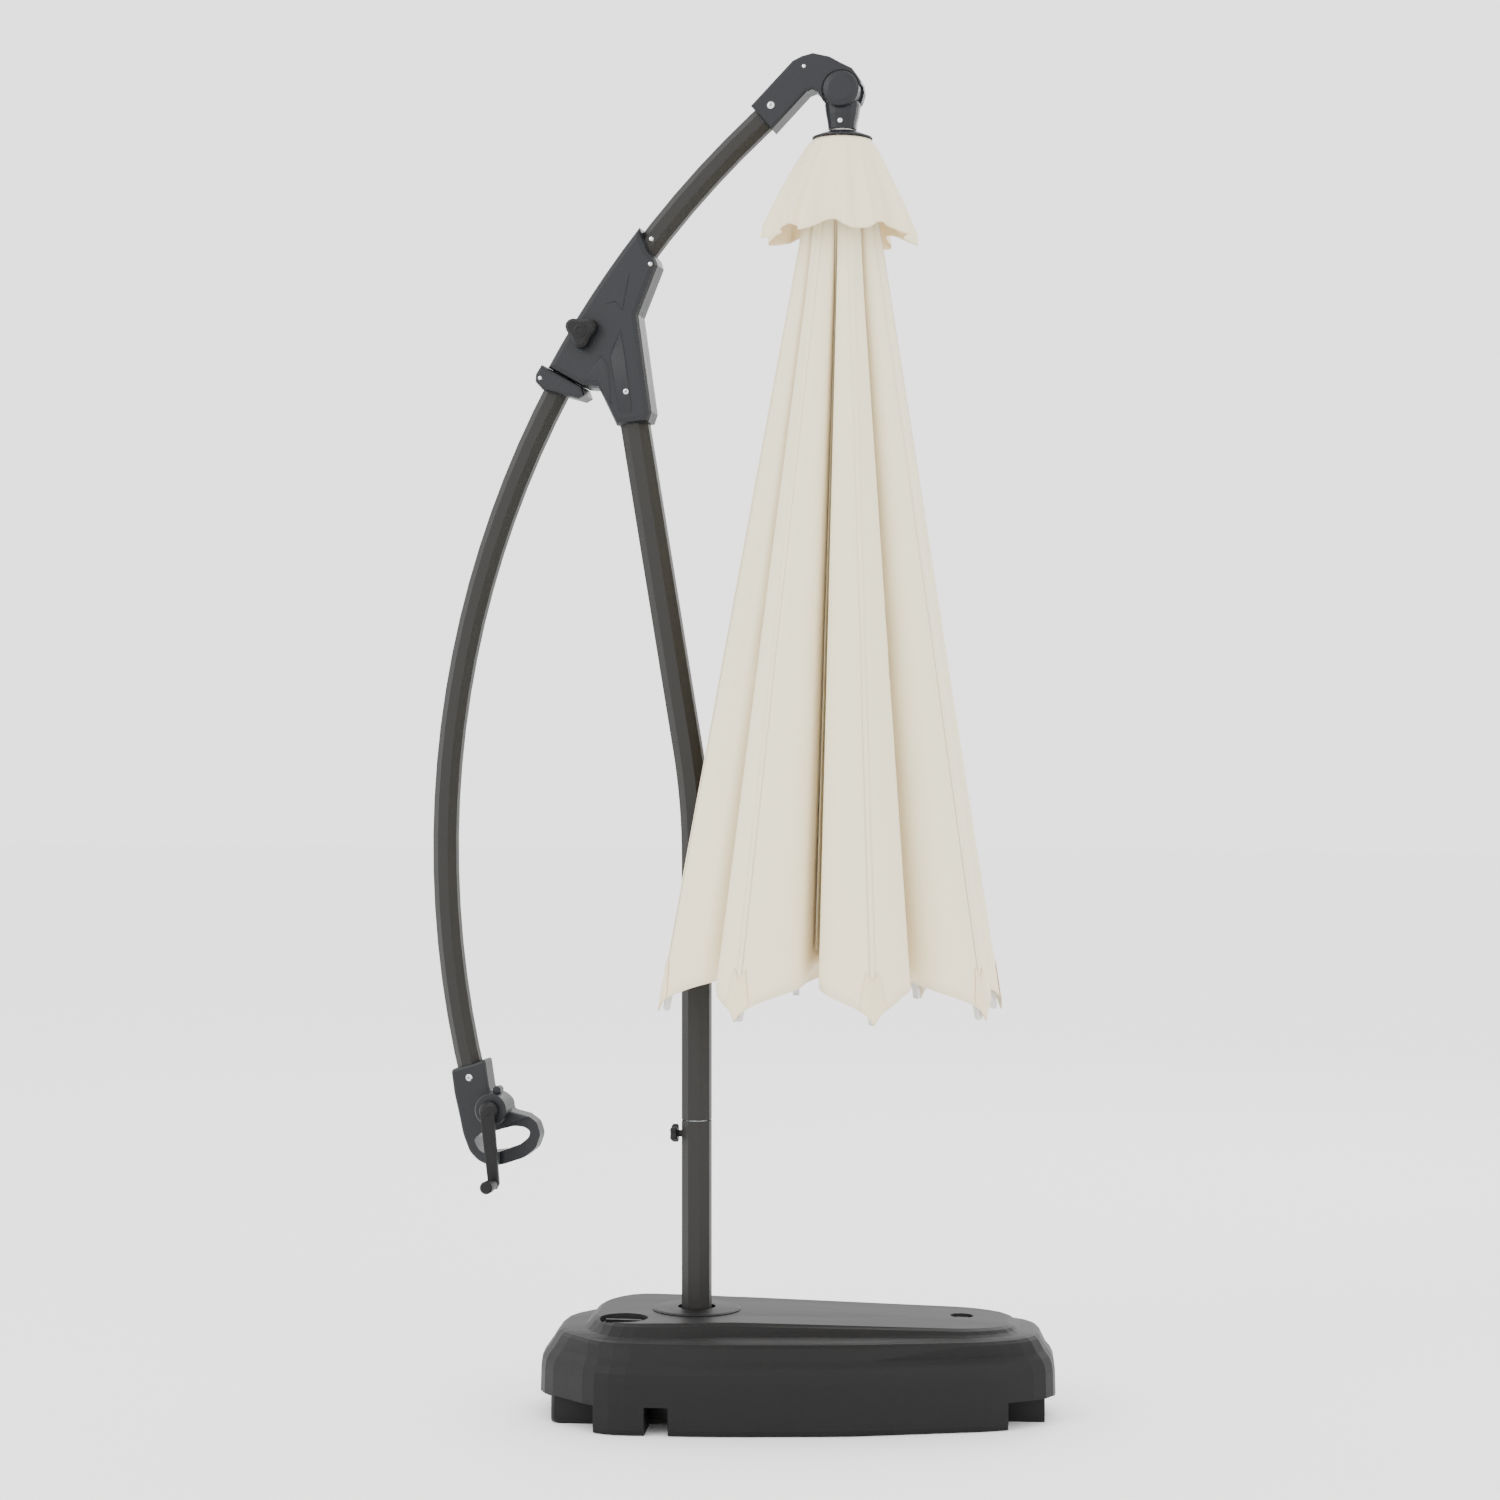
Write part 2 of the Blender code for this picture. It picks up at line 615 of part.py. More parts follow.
def around_pivot(degrees, radius, y=None):
    """A point on a circle about the head's pivot."""
    angle = math.radians(degrees)
    x = HEAD_PIVOT.x + radius * math.cos(angle)
    z = HEAD_PIVOT.z + radius * math.sin(angle)
    return (x, z) if y is None else (x, y, z)


def build_head(boom, tube):
    """The elbow over the boom's end: a hood and one cheek around the knuckle's drum."""
    mouth = math.radians(48.7)
    lower = arc_point(mouth, ARC_RADIUS - 0.0285)
    upper = arc_point(mouth, ARC_RADIUS + 0.0285)
    cheek = BALL_RADIUS + 0.0050
    outline = [(lower.x, lower.z), (0.2010, 2.3190), (0.2125, 2.3230), (0.2230, 2.3150)]
    outline += [around_pivot(d, cheek) for d in (-155, -130, -105, -80, -55, -30, -5, 20, 40)]
    outline += [around_pivot(62, 0.0415), (0.2610, 2.3680), (0.2420, 2.3790), (0.2125, 2.3865),
                (0.1930, 2.3820), (0.1765, 2.3745), (upper.x, upper.z)]
    head = add_part("boom_head", *slab(ccw(outline), -HEAD_HALF, HEAD_HALF, 0.005, 0.005),
                    black_plastic(), boom)
    way = section_rings(arc_path(math.radians(47.5), BOOM_END + math.radians(0.02), 3),
                        BOOM_FLATS + 2 * GAP)
    cut(head, loft(way), boom)
    split = CHEEK_FACE
    room = turned([(BALL_RADIUS + 0.0012, -0.05), (BALL_RADIUS + 0.0012, split)],
                  (HEAD_PIVOT.x, 0, HEAD_PIVOT.z), (0, 1, 0), 36)
    cut(head, room, boom)
    swing = [around_pivot(0, 0.0)] + [around_pivot(d, 0.085) for d in (-152, -110, -60, -20, 12)]
    cut(head, slab(ccw(swing), -0.05, split), boom)
    axle_hole = 0.0052
    cut(head, hole(HEAD_PIVOT, axle_hole), boom)
    flat = HEAD_HALF + GAP
    axle = turned([(0.0, -0.0290), (0.0048, -0.0290), (0.0048, flat), (0.0090, flat),
                   (0.0080, flat + 0.0025), (0.0, flat + 0.0030)],
                  (HEAD_PIVOT.x, 0, HEAD_PIVOT.z), (0, 1, 0), 20)
    add_part("head_axle", *axle, bright_steel(), boom)
    for name, spot, size in (("head_screw", arc_point(math.radians(49.6), ARC_RADIUS + 0.004), 0.0066),
                             ("head_rivet", Vector((0.1973, 0, 2.3628)), 0.0040)):
        cut(head, hole(spot, PIN_RADIUS + 0.0004), boom)
        if name == "head_screw":
            cut(tube, hole(spot, PIN_RADIUS + 0.0004), boom)
        add_part(name, *pin_solid(spot, HEAD_HALF, PIN_RADIUS, size), bright_steel(), boom)


def build_crank_housing(boom, tube):
    """The winch housing on the boom's lower end with its hand loop."""
    c = CRANK_AXIS
    shell = [(-0.4450, 0.5950), (-0.4390, 0.5520), (-0.4296, 0.5119), (-0.4230, 0.4800),
             (-0.4107, 0.4485), (-0.3950, 0.4330), (-0.3776, 0.4255), (-0.3517, 0.4262),
             (-0.3117, 0.4397), (-0.2900, 0.4570), (-0.2813, 0.4813), (-0.2883, 0.5038),
             (-0.3050, 0.5150), (-0.3390, 0.5230), (-0.3390, 0.5380), (-0.3500, 0.5500),
             (-0.3741, 0.5600), (-0.3823, 0.6154), (-0.3989, 0.6083)]
    shell = rounded(ccw(shell), 0.006, 2)
    housing = add_part("crank_housing",
                       *slab(shell, -HOUSING_HALF, HOUSING_HALF, 0.005, 0.005),
                       black_plastic(), boom)
    boss = turned([(0.0290, -0.0150), (0.0290, WINCH_FACE + 0.0030), (0.0260, WINCH_FACE)],
                  (c.x, 0, c.z), (0, 1, 0), 32)
    cut(housing, boss, boom, "UNION")
    pawl = turned([(0.0075, -0.0200), (0.0075, -0.0400), (0.0060, -0.0420)],
                  (c.x + 0.0075, 0, c.z + 0.0335), (0, 1, 0), 16)
    cut(housing, pawl, boom, "UNION")
    loop = [(-0.3895, 0.4830), (-0.4024, 0.4715), (-0.3950, 0.4560), (-0.3847, 0.4469),
            (-0.3540, 0.4500), (-0.3200, 0.4620), (-0.3024, 0.4763), (-0.3000, 0.4877),
            (-0.3120, 0.4950), (-0.3305, 0.4960), (-0.3560, 0.4890)]
    cut(housing, slab(rounded(ccw(loop), 0.006, 2), -0.05, 0.05), boom)
    shave = [(-0.3540, 0.4150), (-0.2600, 0.4150), (-0.2600, 0.5300), (-0.3270, 0.5050),
             (-0.3540, 0.4900)]
    for side in (-1, 1):
        low, high = sorted((side * 0.0165, side * 0.05))
        cut(housing, slab(ccw(shave), low, high), boom)
    way = section_rings(arc_path(BOOM_START - math.radians(0.02), math.radians(-11), 3),
                        BOOM_FLATS + 2 * GAP)
    cut(housing, loft(way), boom)
    axis_point = (c.x, 0, c.z)
    room = FLANGE_RADIUS + 0.0015
    cut(housing, turned([(room, -0.0185), (room, 0.05)], axis_point, (0, 1, 0), 28), boom)
    cut(housing, turned([(0.0076, -0.08), (0.0076, 0.0)], axis_point, (0, 1, 0), 20), boom)
    cover = turned([(room - GAP, 0.0205), (room - GAP, HOUSING_HALF),
                    (room - 0.006, HOUSING_HALF + 0.004)], axis_point, (0, 1, 0), 28)
    add_part("winch_cover", *cover, black_plastic(), boom)
    screw = arc_point(math.radians(-13.9), ARC_RADIUS)
    cut(housing, hole(screw, PIN_RADIUS + 0.0004), boom)
    cut(tube, hole(screw, PIN_RADIUS + 0.0004), boom)
    add_part("housing_screw", *pin_solid(screw, HOUSING_HALF, PIN_RADIUS, 0.0064), bright_steel(), boom)


def build_crank():
    """The winding drum on its shaft, the crank arm and the grip that spins on it."""
    c = CRANK_AXIS
    axis_point = (c.x, 0, c.z)
    crank = body("crank_axis", c)
    shaft = 0.0070
    face = WINCH_FACE - 0.0010
    drum = turned([(shaft, face - 0.0100), (shaft, -0.0175), (FLANGE_RADIUS, -0.0175),
                   (FLANGE_RADIUS, -0.0145), (DRUM_RADIUS, -0.0145), (DRUM_RADIUS, 0.0140),
                   (FLANGE_RADIUS, 0.0140), (FLANGE_RADIUS, 0.0170), (shaft, 0.0170),
                   (shaft, 0.0200)], axis_point, (0, 1, 0), 24)
    add_part("winding_drum", *drum, bright_steel(), crank)
    arm_low, arm_high = face - 0.0230, face - 0.0110
    tip = Vector((c.x + CRANK_OFFSET, 0, c.z - CRANK_LENGTH))
    outline = [(c.x - 0.0125, c.z - 0.002), (tip.x - 0.0100, tip.z), (tip.x - 0.0055, tip.z - 0.0090),
               (tip.x + 0.0055, tip.z - 0.0090), (tip.x + 0.0100, tip.z), (c.x + 0.0125, c.z - 0.002),
               (c.x + 0.0060, c.z + 0.0110), (c.x - 0.0060, c.z + 0.0110)]
    arm = add_part("crank_arm", *slab(ccw(outline), arm_low, arm_high, 0.003, 0.002),
                   black_plastic(), crank)
    boss = turned([(0.0170, face), (0.0160, face - 0.0130), (0.0120, face - 0.0200),
                   (0.0060, face - 0.0245)], axis_point, (0, 1, 0), 28)
    cut(arm, boss, crank, "UNION")
    cut(arm, turned([(0.0073, 0.0), (0.0073, face - 0.0104)], axis_point, (0, 1, 0), 20), crank)
    spin = body("crank_grip_axis", (tip.x, 0, tip.z))
    start = arm_low - GAP
    grip = turned([(0.0085, start), (0.0090, start - 0.005), (0.0112, start - 0.025),
                   (0.0115, start - 0.044), (0.0090, start - 0.048)], (tip.x, 0, tip.z), (0, 1, 0), 20)
    add_part("crank_grip", *grip, black_plastic(), spin)


# ---- canopy ---------------------------------------------------------------------------------
def canopy_frame():
    """The canopy's own frame: its axis passes the head's pivot with a slight lean."""
    there = Matrix.Translation(HEAD_PIVOT)
    return there @ Matrix.Rotation(CANOPY_LEAN, 4, "Y") @ there.inverted()


def in_canopy(shape):
    """A shape drawn about an upright canopy axis, leaned into place."""
    points, faces = shape
    frame = canopy_frame()
    return [frame @ Vector(p) for p in points], faces


def from_hub(radius, drop, azimuth, aside=0.0):
    """A point by its distance from the canopy's axis, its drop below the hub, its azimuth."""
    return Vector((HEAD_PIVOT.x + radius * math.cos(azimuth) - aside * math.sin(azimuth),
                   radius * math.sin(azimuth) + aside * math.cos(azimuth), HUB_HEIGHT - drop))


def rib_azimuth(index):
    return 2 * math.pi * (index + 0.5) / RIB_COUNT


def bar_outline(start, direction, length, half_start, half_end):
    """A bar with rounded ends in a (radius, drop) plane."""
    along = Vector(direction)
    side = Vector((-along.y, along.x))
    outline = []
    for centre, half, first in ((Vector(start), half_start, 90), (Vector(start) + along * length,
                                                                 half_end, -90)):
        for k in range(5):
            angle = math.radians(first + 45 * k)
            outline.append(centre + along * (half * math.cos(angle)) + side * (half * math.sin(angle)))
    return outline


def rib_plate(outline, azimuth, low, high):
    """A plate from a (radius, drop) outline, standing in a rib's plane."""
    rings = [[from_hub(p[0], p[1], azimuth, aside) for p in outline] for aside in (low, high)]
    return in_canopy(loft(rings))


def rib_pin(spot, azimuth, profile, steps=16):
    """A turned piece whose axis crosses a rib's plane at a (radius, drop) point."""
    across = (-math.sin(azimuth), math.cos(azimuth), 0)
    return in_canopy(turned(profile, from_hub(spot[0], spot[1], azimuth), across, steps))


def strut_ends():
    """(radius, drop) of a strut's pin on its rib and of its end at the runner."""
    upper = Vector((RIB_PIVOT_RADIUS + STRUT_AT * math.sin(RIB_CLOSED), STRUT_AT * math.cos(RIB_CLOSED)))
    inward = upper.x - RUNNER_PIVOT_RADIUS
    lower = Vector((RUNNER_PIVOT_RADIUS, upper.y + math.sqrt(STRUT_LENGTH ** 2 - inward ** 2)))
    return upper, lower


def build_ribs():
    """Eight ribs on the hub and the struts pinned beside them."""
    along = Vector((math.sin(RIB_CLOSED), math.cos(RIB_CLOSED)))
    start = Vector((RIB_PIVOT_RADIUS, 0.0))
    upper, lower = strut_ends()
    side = RIB_WIDTH / 2
    beside = side + 0.0005
    for index in range(RIB_COUNT):
        azimuth = rib_azimuth(index)
        frame = canopy_frame()
        rib_body = body(f"rib_{index + 1}_axis", frame @ from_hub(start.x, 0.0, azimuth))
        outline = bar_outline(start, along, RIB_LENGTH - 0.006, RIB_HEIGHT / 2, 0.0055)
        rib = add_part(f"rib_{index + 1}", *rib_plate(outline, azimuth, -side, side), white_metal(),
                       rib_body)
        outer = beside + STRUT_WIDTH + 0.0004
        stub = [(0.0030, 0.0), (0.0030, outer), (0.0048, outer), (0.0048, outer + 0.0015)]
        cut(rib, rib_pin(upper, azimuth, stub), rib_body, "UNION")
        strut_body = body(f"strut_{index + 1}_axis", frame @ from_hub(upper.x, upper.y, azimuth))
        outline = bar_outline(upper, (lower - upper).normalized(), STRUT_LENGTH,
                              STRUT_HEIGHT / 2, STRUT_HEIGHT / 2)
        strut = add_part(f"strut_{index + 1}",
                         *rib_plate(outline, azimuth, beside, beside + STRUT_WIDTH),
                         white_metal(), strut_body)
        cut(strut, rib_pin(upper, azimuth, [(0.0034, beside - 0.01), (0.0034, outer + 0.01)]),
            strut_body)


def build_post(canopy):
    """The knuckle and neck, the rain disc, the hub crown and the post."""
    p = HEAD_PIVOT
    knuckle = add_part("knuckle", *in_canopy(turned(
        [(BALL_RADIUS, CHEEK_FACE - 0.0016), (BALL_RADIUS, -0.0290), (BALL_RADIUS - 0.003, -0.0330),
         (BALL_RADIUS * 0.62, -0.0365)], (p.x, 0, p.z), (0, 1, 0), 36)), black_plastic(), canopy)
    rings = []
    for height, half_x, half_y in ((2.3010, 0.0300, 0.0265), (2.2960, 0.0308, 0.0265),
                                   (2.2800, 0.0285, 0.0265), (2.2660, 0.0255, 0.0250),
                                   (NECK_BOTTOM, 0.0243, 0.0243)):
        rings.append([(p.x + half_x * squared(k)[0], half_y * squared(k)[1], height)
                      for k in range(20)])
    cut(knuckle, in_canopy(loft(rings)), canopy, "UNION")
    cut(knuckle, turned([(BALL_RADIUS + 0.0068, CHEEK_FACE - 0.0010), (BALL_RADIUS + 0.0068, 0.05)],
                        (p.x, 0, p.z), (0, 1, 0), 36), canopy)
    cut(knuckle, turned([(0.0052, -0.0294), (0.0052, 0.05)], (p.x, 0, p.z), (0, 1, 0), 20), canopy)
    top = DISC_HEIGHT + 0.004
    disc = [(POST_RADIUS + GAP, top - 0.0030), (POST_RADIUS + GAP, top + 0.0030),
            (POST_RADIUS + 0.008, top + 0.0030), (DISC_RADIUS, top - 0.0070), (DISC_RADIUS, top - 0.0095)]
    add_part("rain_disc", *in_canopy(turned(disc, (p.x, 0, 0), steps=40, closed=True)),
             black_plastic(), canopy)
    low = HUB_HEIGHT - POST_LENGTH
    high = NECK_BOTTOM - GAP
    wall = POST_RADIUS - TUBE_WALL
    tube = [(POST_RADIUS, low), (POST_RADIUS, high), (wall, high), (wall, low)]
    add_part("post", *in_canopy(turned(tube, (p.x, 0, 0), closed=True)), white_metal(), canopy)
    cap = [(POST_RADIUS, low - GAP), (POST_RADIUS, low - 0.010), (POST_RADIUS - 0.005, low - 0.016)]
    add_part("post_cap", *in_canopy(turned(cap, (p.x, 0, 0))), black_plastic(), canopy)
    crown = [(POST_RADIUS + GAP, HUB_HEIGHT - HUB_HALF), (HUB_RADIUS, HUB_HEIGHT - HUB_HALF),
             (HUB_RADIUS, HUB_HEIGHT + HUB_HALF), (POST_RADIUS + GAP, HUB_HEIGHT + HUB_HALF)]
    hub = add_part("hub", *in_canopy(turned(crown, (p.x, 0, 0), steps=40, closed=True)),
                   black_plastic(), canopy)
    slot_start = RIB_PIVOT_RADIUS - RIB_HEIGHT / 2 - 0.0012
    half = RIB_WIDTH / 2 + 0.0006
    cut_slots(hub, canopy, slot_start, HUB_RADIUS + 0.02, -half, half, -0.03, 0.03)


def squared(k, count=20):
    """A point of a rounded square of half width one."""
    angle = 2 * math.pi * k / count
    c, s = math.cos(angle), math.sin(angle)
    grow = 1.0 / (abs(c) ** 3.2 + abs(s) ** 3.2) ** (1 / 3.2)
    return c * grow, s * grow


def cut_slots(target, parent, inner, outer, low, high, drop_from, drop_to):
    """One radial slot for each rib."""
    shapes = []
    for index in range(RIB_COUNT):
        azimuth = rib_azimuth(index)
        outline = [(inner, drop_from), (outer, drop_from), (outer, drop_to), (inner, drop_to)]
        shapes.append(rib_plate(outline, azimuth, low, high))
    cut(target, merge_shapes(*shapes), parent)


def build_runner():
    """The runner that the struts push, a slotted crown sliding on the post."""
    lower = strut_ends()[1]
    at = canopy_frame() @ from_hub(0.0, lower.y, 0.0)
    slide = body("runner_axis", at)
    z = HUB_HEIGHT - lower.y
    bore = POST_RADIUS + 0.0006
    profile = [(bore, z - RUNNER_HALF - 0.018), (bore + 0.006, z - RUNNER_HALF - 0.018),
               (bore + 0.008, z - RUNNER_HALF), (RUNNER_RADIUS, z - RUNNER_HALF + 0.004),
               (RUNNER_RADIUS, z + RUNNER_HALF), (bore, z + RUNNER_HALF)]
    runner = add_part("runner", *in_canopy(turned(profile, (HEAD_PIVOT.x, 0, 0), steps=40, closed=True)),
                      black_plastic(), slide)
    low = RIB_WIDTH / 2 + 0.0005 - 0.0010
    high = low + STRUT_WIDTH + 0.0020
    cut_slots(runner, slide, RUNNER_PIVOT_RADIUS - STRUT_HEIGHT / 2 - 0.0040, RUNNER_RADIUS + 0.02,
              low, high, lower.y - 0.05, lower.y + 0.07)


# ---- cloth ----------------------------------------------------------------------------------
def ridge_radius(drop):
    """The inside of the cloth over a rib, by its drop below the hub."""
    over = (RIB_HEIGHT / 2 + CLOTH_OFF_RIB) / math.cos(RIB_CLOSED)
    return max(RIB_PIVOT_RADIUS + drop * math.tan(RIB_CLOSED) + over, HUB_RADIUS + 0.003)


def valley_radius(drop):
    """The inside of the fold between two ribs."""
    depth = min(max((drop - 0.015) / 0.30, 0.0), 1.0)
    ratio = 0.97 + (VALLEY - 0.97) * depth
    return max(ridge_radius(drop) * ratio, (HUB_RADIUS + 0.002) * (1 - depth) + 0.030 * depth)


def gore_row(index, drop_ridge, drop_valley, grow):
    """Points across one gore at a height, from one rib to the next."""
    first, second = rib_azimuth(index), rib_azimuth(index + 1)
    middle = (first + second) / 2
    edge = ridge_radius(drop_ridge) + grow
    shoulder = min(RIDGE_HALF, edge * math.tan(math.pi / RIB_COUNT) * 0.6)
    valley = valley_radius(drop_valley) + grow
    row = [from_hub(edge, drop_ridge, first, GAP), from_hub(edge, drop_ridge, first, shoulder)]
    third = from_hub(edge, drop_ridge, second, -shoulder)
    low = from_hub(valley, drop_valley, middle, -0.003)
    high = from_hub(valley, drop_valley, middle, 0.003)
    row += [row[1].lerp(low, 0.5), low, high, third.lerp(high, 0.5), third,
            from_hub(edge, drop_ridge, second, -GAP)]
    return row


def build_gores():
    """One closed, folded gore of cloth between each pair of ribs."""
    last = RIB_LENGTH * math.cos(RIB_CLOSED)
    for index in range(RIB_COUNT):
        inner, outer = [], []
        rows = 9
        for k in range(rows + 1):
            t = (k / rows) ** 1.3
            ridge_drop = -0.013 + (last + 0.013) * t
            valley_drop = -0.013 + (last - HEM_RISE + 0.013) * t
            inner.append(gore_row(index, ridge_drop, valley_drop, 0.0))
            outer.append(gore_row(index, ridge_drop, valley_drop, CLOTH))
        shape = in_canopy(sheet(inner, outer))
        frame = canopy_frame()
        middle = (rib_azimuth(index) + rib_azimuth(index + 1)) / 2
        fold = frame @ from_hub(RIB_PIVOT_RADIUS / math.cos(math.pi / RIB_COUNT), 0.0, middle)
        add_part(f"gore_{index + 1}", *shape, canopy_cloth(), body(f"gore_{index + 1}_axis", fold))


def sheet(inner, outer):
    """A closed thin solid between two grids of points."""
    rows, columns = len(inner), len(inner[0])
    points = [p for row in inner for p in row] + [p for row in outer for p in row]
    shift = rows * columns
    faces = []
    for r in range(rows - 1):
        for c in range(columns - 1):
            a, b = r * columns + c, (r + 1) * columns + c
            faces.append((a, b, b + 1, a + 1))
            faces.append((shift + a, shift + a + 1, shift + b + 1, shift + b))
    edge = [c for c in range(columns)]
    edge += [r * columns + columns - 1 for r in range(1, rows)]
    edge += [(rows - 1) * columns + c for c in range(columns - 2, -1, -1)]
    edge += [r * columns for r in range(rows - 2, 0, -1)]
    for a, b in zip(edge, edge[1:] + edge[:1]):
        faces.append((a, b, shift + b, shift + a))
    return points, faces


def build_vent(canopy):
    """The flounce over the canopy's top, scalloped between the ribs."""
    outer_rows, inner_rows = [], []
    steps = 48
    start = HUB_RADIUS + 0.005
    for k in range(8):
        t = k / 7
        ring_out, ring_in = [], []
        for i in range(steps):
            azimuth = 2 * math.pi * i / steps
            wave = 0.5 + 0.5 * math.cos(RIB_COUNT * (azimuth - rib_azimuth(0)))
            hem = VENT_RADIUS - 0.030 * (1 - wave)
            radius = start + (hem - start) * (0.10 * min(t * 7, 1.0) + 0.90 * t) if t else start
            drop = -0.021 + (VENT_DROP + 0.021 - 0.018 * (1 - wave)) * t ** 1.15
            ring_out.append(from_hub(radius + CLOTH * 0.6, drop - CLOTH * 0.6, azimuth))
            ring_in.append(from_hub(radius, drop + CLOTH * 0.3, azimuth))
        outer_rows.append(ring_out)
        inner_rows.append(ring_in)
    add_part("vent", *in_canopy(pipe(outer_rows, inner_rows)), canopy_cloth(), canopy)


# ---- assembly -----------------------------------------------------------------------------
def main():
    for old in list(bpy.data.objects):
        bpy.data.objects.remove(old, do_unlink=True)
    mast = body("mast_axis", (0, 0, MAST_SEAM))
    boom = body("boom_axis", ARC_CENTRE)
    canopy = body("canopy_axis", HEAD_PIVOT)
    build_tank()
    build_caps()
    build_foot()
    build_mast(mast)
    build_thumb_screw()
    build_bracket(mast)
    build_lock_knob()
    build_boom(boom)
    build_crank()
    build_post(canopy)
    build_ribs()
    build_runner()
    build_gores()
    build_vent(canopy)


main()
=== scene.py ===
"""Cantilever parasol, furled: finishes, cloth and small fittings over the CAD frame."""

import json
import logging
import math
import random
from dataclasses import dataclass, field
from enum import Enum

import bmesh
import bpy
import numpy as np
from mathutils import Matrix, Vector

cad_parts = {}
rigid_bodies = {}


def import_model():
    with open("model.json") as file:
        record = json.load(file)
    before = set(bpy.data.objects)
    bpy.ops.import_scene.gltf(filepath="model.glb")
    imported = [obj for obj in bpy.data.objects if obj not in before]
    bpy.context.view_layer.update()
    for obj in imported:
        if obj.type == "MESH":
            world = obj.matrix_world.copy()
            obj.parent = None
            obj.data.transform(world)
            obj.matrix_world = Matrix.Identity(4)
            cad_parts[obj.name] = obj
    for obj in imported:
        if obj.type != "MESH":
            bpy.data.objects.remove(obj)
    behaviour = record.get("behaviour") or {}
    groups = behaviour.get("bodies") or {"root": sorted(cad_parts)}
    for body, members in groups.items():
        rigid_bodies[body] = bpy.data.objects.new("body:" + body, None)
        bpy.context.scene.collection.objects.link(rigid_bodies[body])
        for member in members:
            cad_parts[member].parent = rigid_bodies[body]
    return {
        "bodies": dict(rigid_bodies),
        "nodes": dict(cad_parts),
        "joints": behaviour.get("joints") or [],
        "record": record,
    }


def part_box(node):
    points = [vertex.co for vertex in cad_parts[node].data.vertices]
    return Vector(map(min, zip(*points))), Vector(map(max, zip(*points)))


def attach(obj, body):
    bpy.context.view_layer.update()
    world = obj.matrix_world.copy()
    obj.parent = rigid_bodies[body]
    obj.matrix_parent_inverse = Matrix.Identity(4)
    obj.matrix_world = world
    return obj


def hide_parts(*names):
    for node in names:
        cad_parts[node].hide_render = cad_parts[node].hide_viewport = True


LOG = logging.getLogger("parasol")

HEAD_PIVOT = Vector((0.262, 0.0, 2.3207))
ARC_CENTRE = Vector((1.249, 0.0, 0.992))
ARC_RADIUS = 1.710
CANOPY_LEAN = math.radians(0.7)
HUB_HEIGHT = 2.213
MAST_LEAN = math.radians(9.4)
MAST_BEND_HEIGHT = 1.073
MAST_BEND_RADIUS = 1.2
MAST_SCREW_HEIGHT = 1.800
KNOB_X, KNOB_Z = -0.1984, 1.9067
NECK_BOLT_HEIGHT = 2.2660
SHARP_ANGLE = math.radians(32)
FLOOR_HALF = 30.0


class Body(Enum):
    """The moving bodies that visual pieces ride on."""

    MAST = "mast"
    BOOM = "boom"
    CANOPY = "canopy"
    KNOB = "lock_knob"


# ---- finishes --------------------------------------------------------------------------
def grain_group() -> bpy.types.NodeTree:
    """Builds the fine surface grain that every finish shares.

    Returns:
        A node group that gives a tinted colour, a roughness and a height.
    """
    found = bpy.data.node_groups.get("surface_grain")
    if found:
        return found
    tree = bpy.data.node_groups.new("surface_grain", "ShaderNodeTree")
    face = tree.interface
    face.new_socket("Vector", in_out="INPUT", socket_type="NodeSocketVector")
    face.new_socket("Colour", in_out="INPUT", socket_type="NodeSocketColor")
    for name, value in (("Scale", 300.0), ("Roughness", 0.5), ("Variation", 0.08), ("Tone", 0.1)):
        socket = face.new_socket(name, in_out="INPUT", socket_type="NodeSocketFloat")
        socket.default_value = value
    face.new_socket("Colour", in_out="OUTPUT", socket_type="NodeSocketColor")
    face.new_socket("Roughness", in_out="OUTPUT", socket_type="NodeSocketFloat")
    face.new_socket("Height", in_out="OUTPUT", socket_type="NodeSocketFloat")
    nodes, links = tree.nodes, tree.links
    start, end = nodes.new("NodeGroupInput"), nodes.new("NodeGroupOutput")
    fine = nodes.new("ShaderNodeTexNoise")
    fine.inputs["Detail"].default_value = 3.0
    broad = nodes.new("ShaderNodeTexNoise")
    broad.inputs["Scale"].default_value = 9.0
    links.new(start.outputs["Vector"], fine.inputs["Vector"])
    links.new(start.outputs["Scale"], fine.inputs["Scale"])
    links.new(start.outputs["Vector"], broad.inputs["Vector"])
    centred = nodes.new("ShaderNodeMath")
    centred.operation = "SUBTRACT"
    centred.inputs[1].default_value = 0.5
    links.new(broad.outputs["Fac"], centred.inputs[0])
    rough = nodes.new("ShaderNodeMath")
    rough.operation = "MULTIPLY_ADD"
    links.new(centred.outputs[0], rough.inputs[0])
    links.new(start.outputs["Variation"], rough.inputs[1])
    links.new(start.outputs["Roughness"], rough.inputs[2])
    gain = nodes.new("ShaderNodeMath")
    gain.operation = "MULTIPLY_ADD"
    gain.inputs[2].default_value = 1.0
    links.new(centred.outputs[0], gain.inputs[0])
    links.new(start.outputs["Tone"], gain.inputs[1])
    tint = nodes.new("ShaderNodeVectorMath")
    tint.operation = "SCALE"
    links.new(start.outputs["Colour"], tint.inputs[0])
    links.new(gain.outputs[0], tint.inputs["Scale"])
    links.new(tint.outputs[0], end.inputs["Colour"])
    links.new(rough.outputs[0], end.inputs["Roughness"])
    links.new(fine.outputs["Fac"], end.inputs["Height"])
    return tree


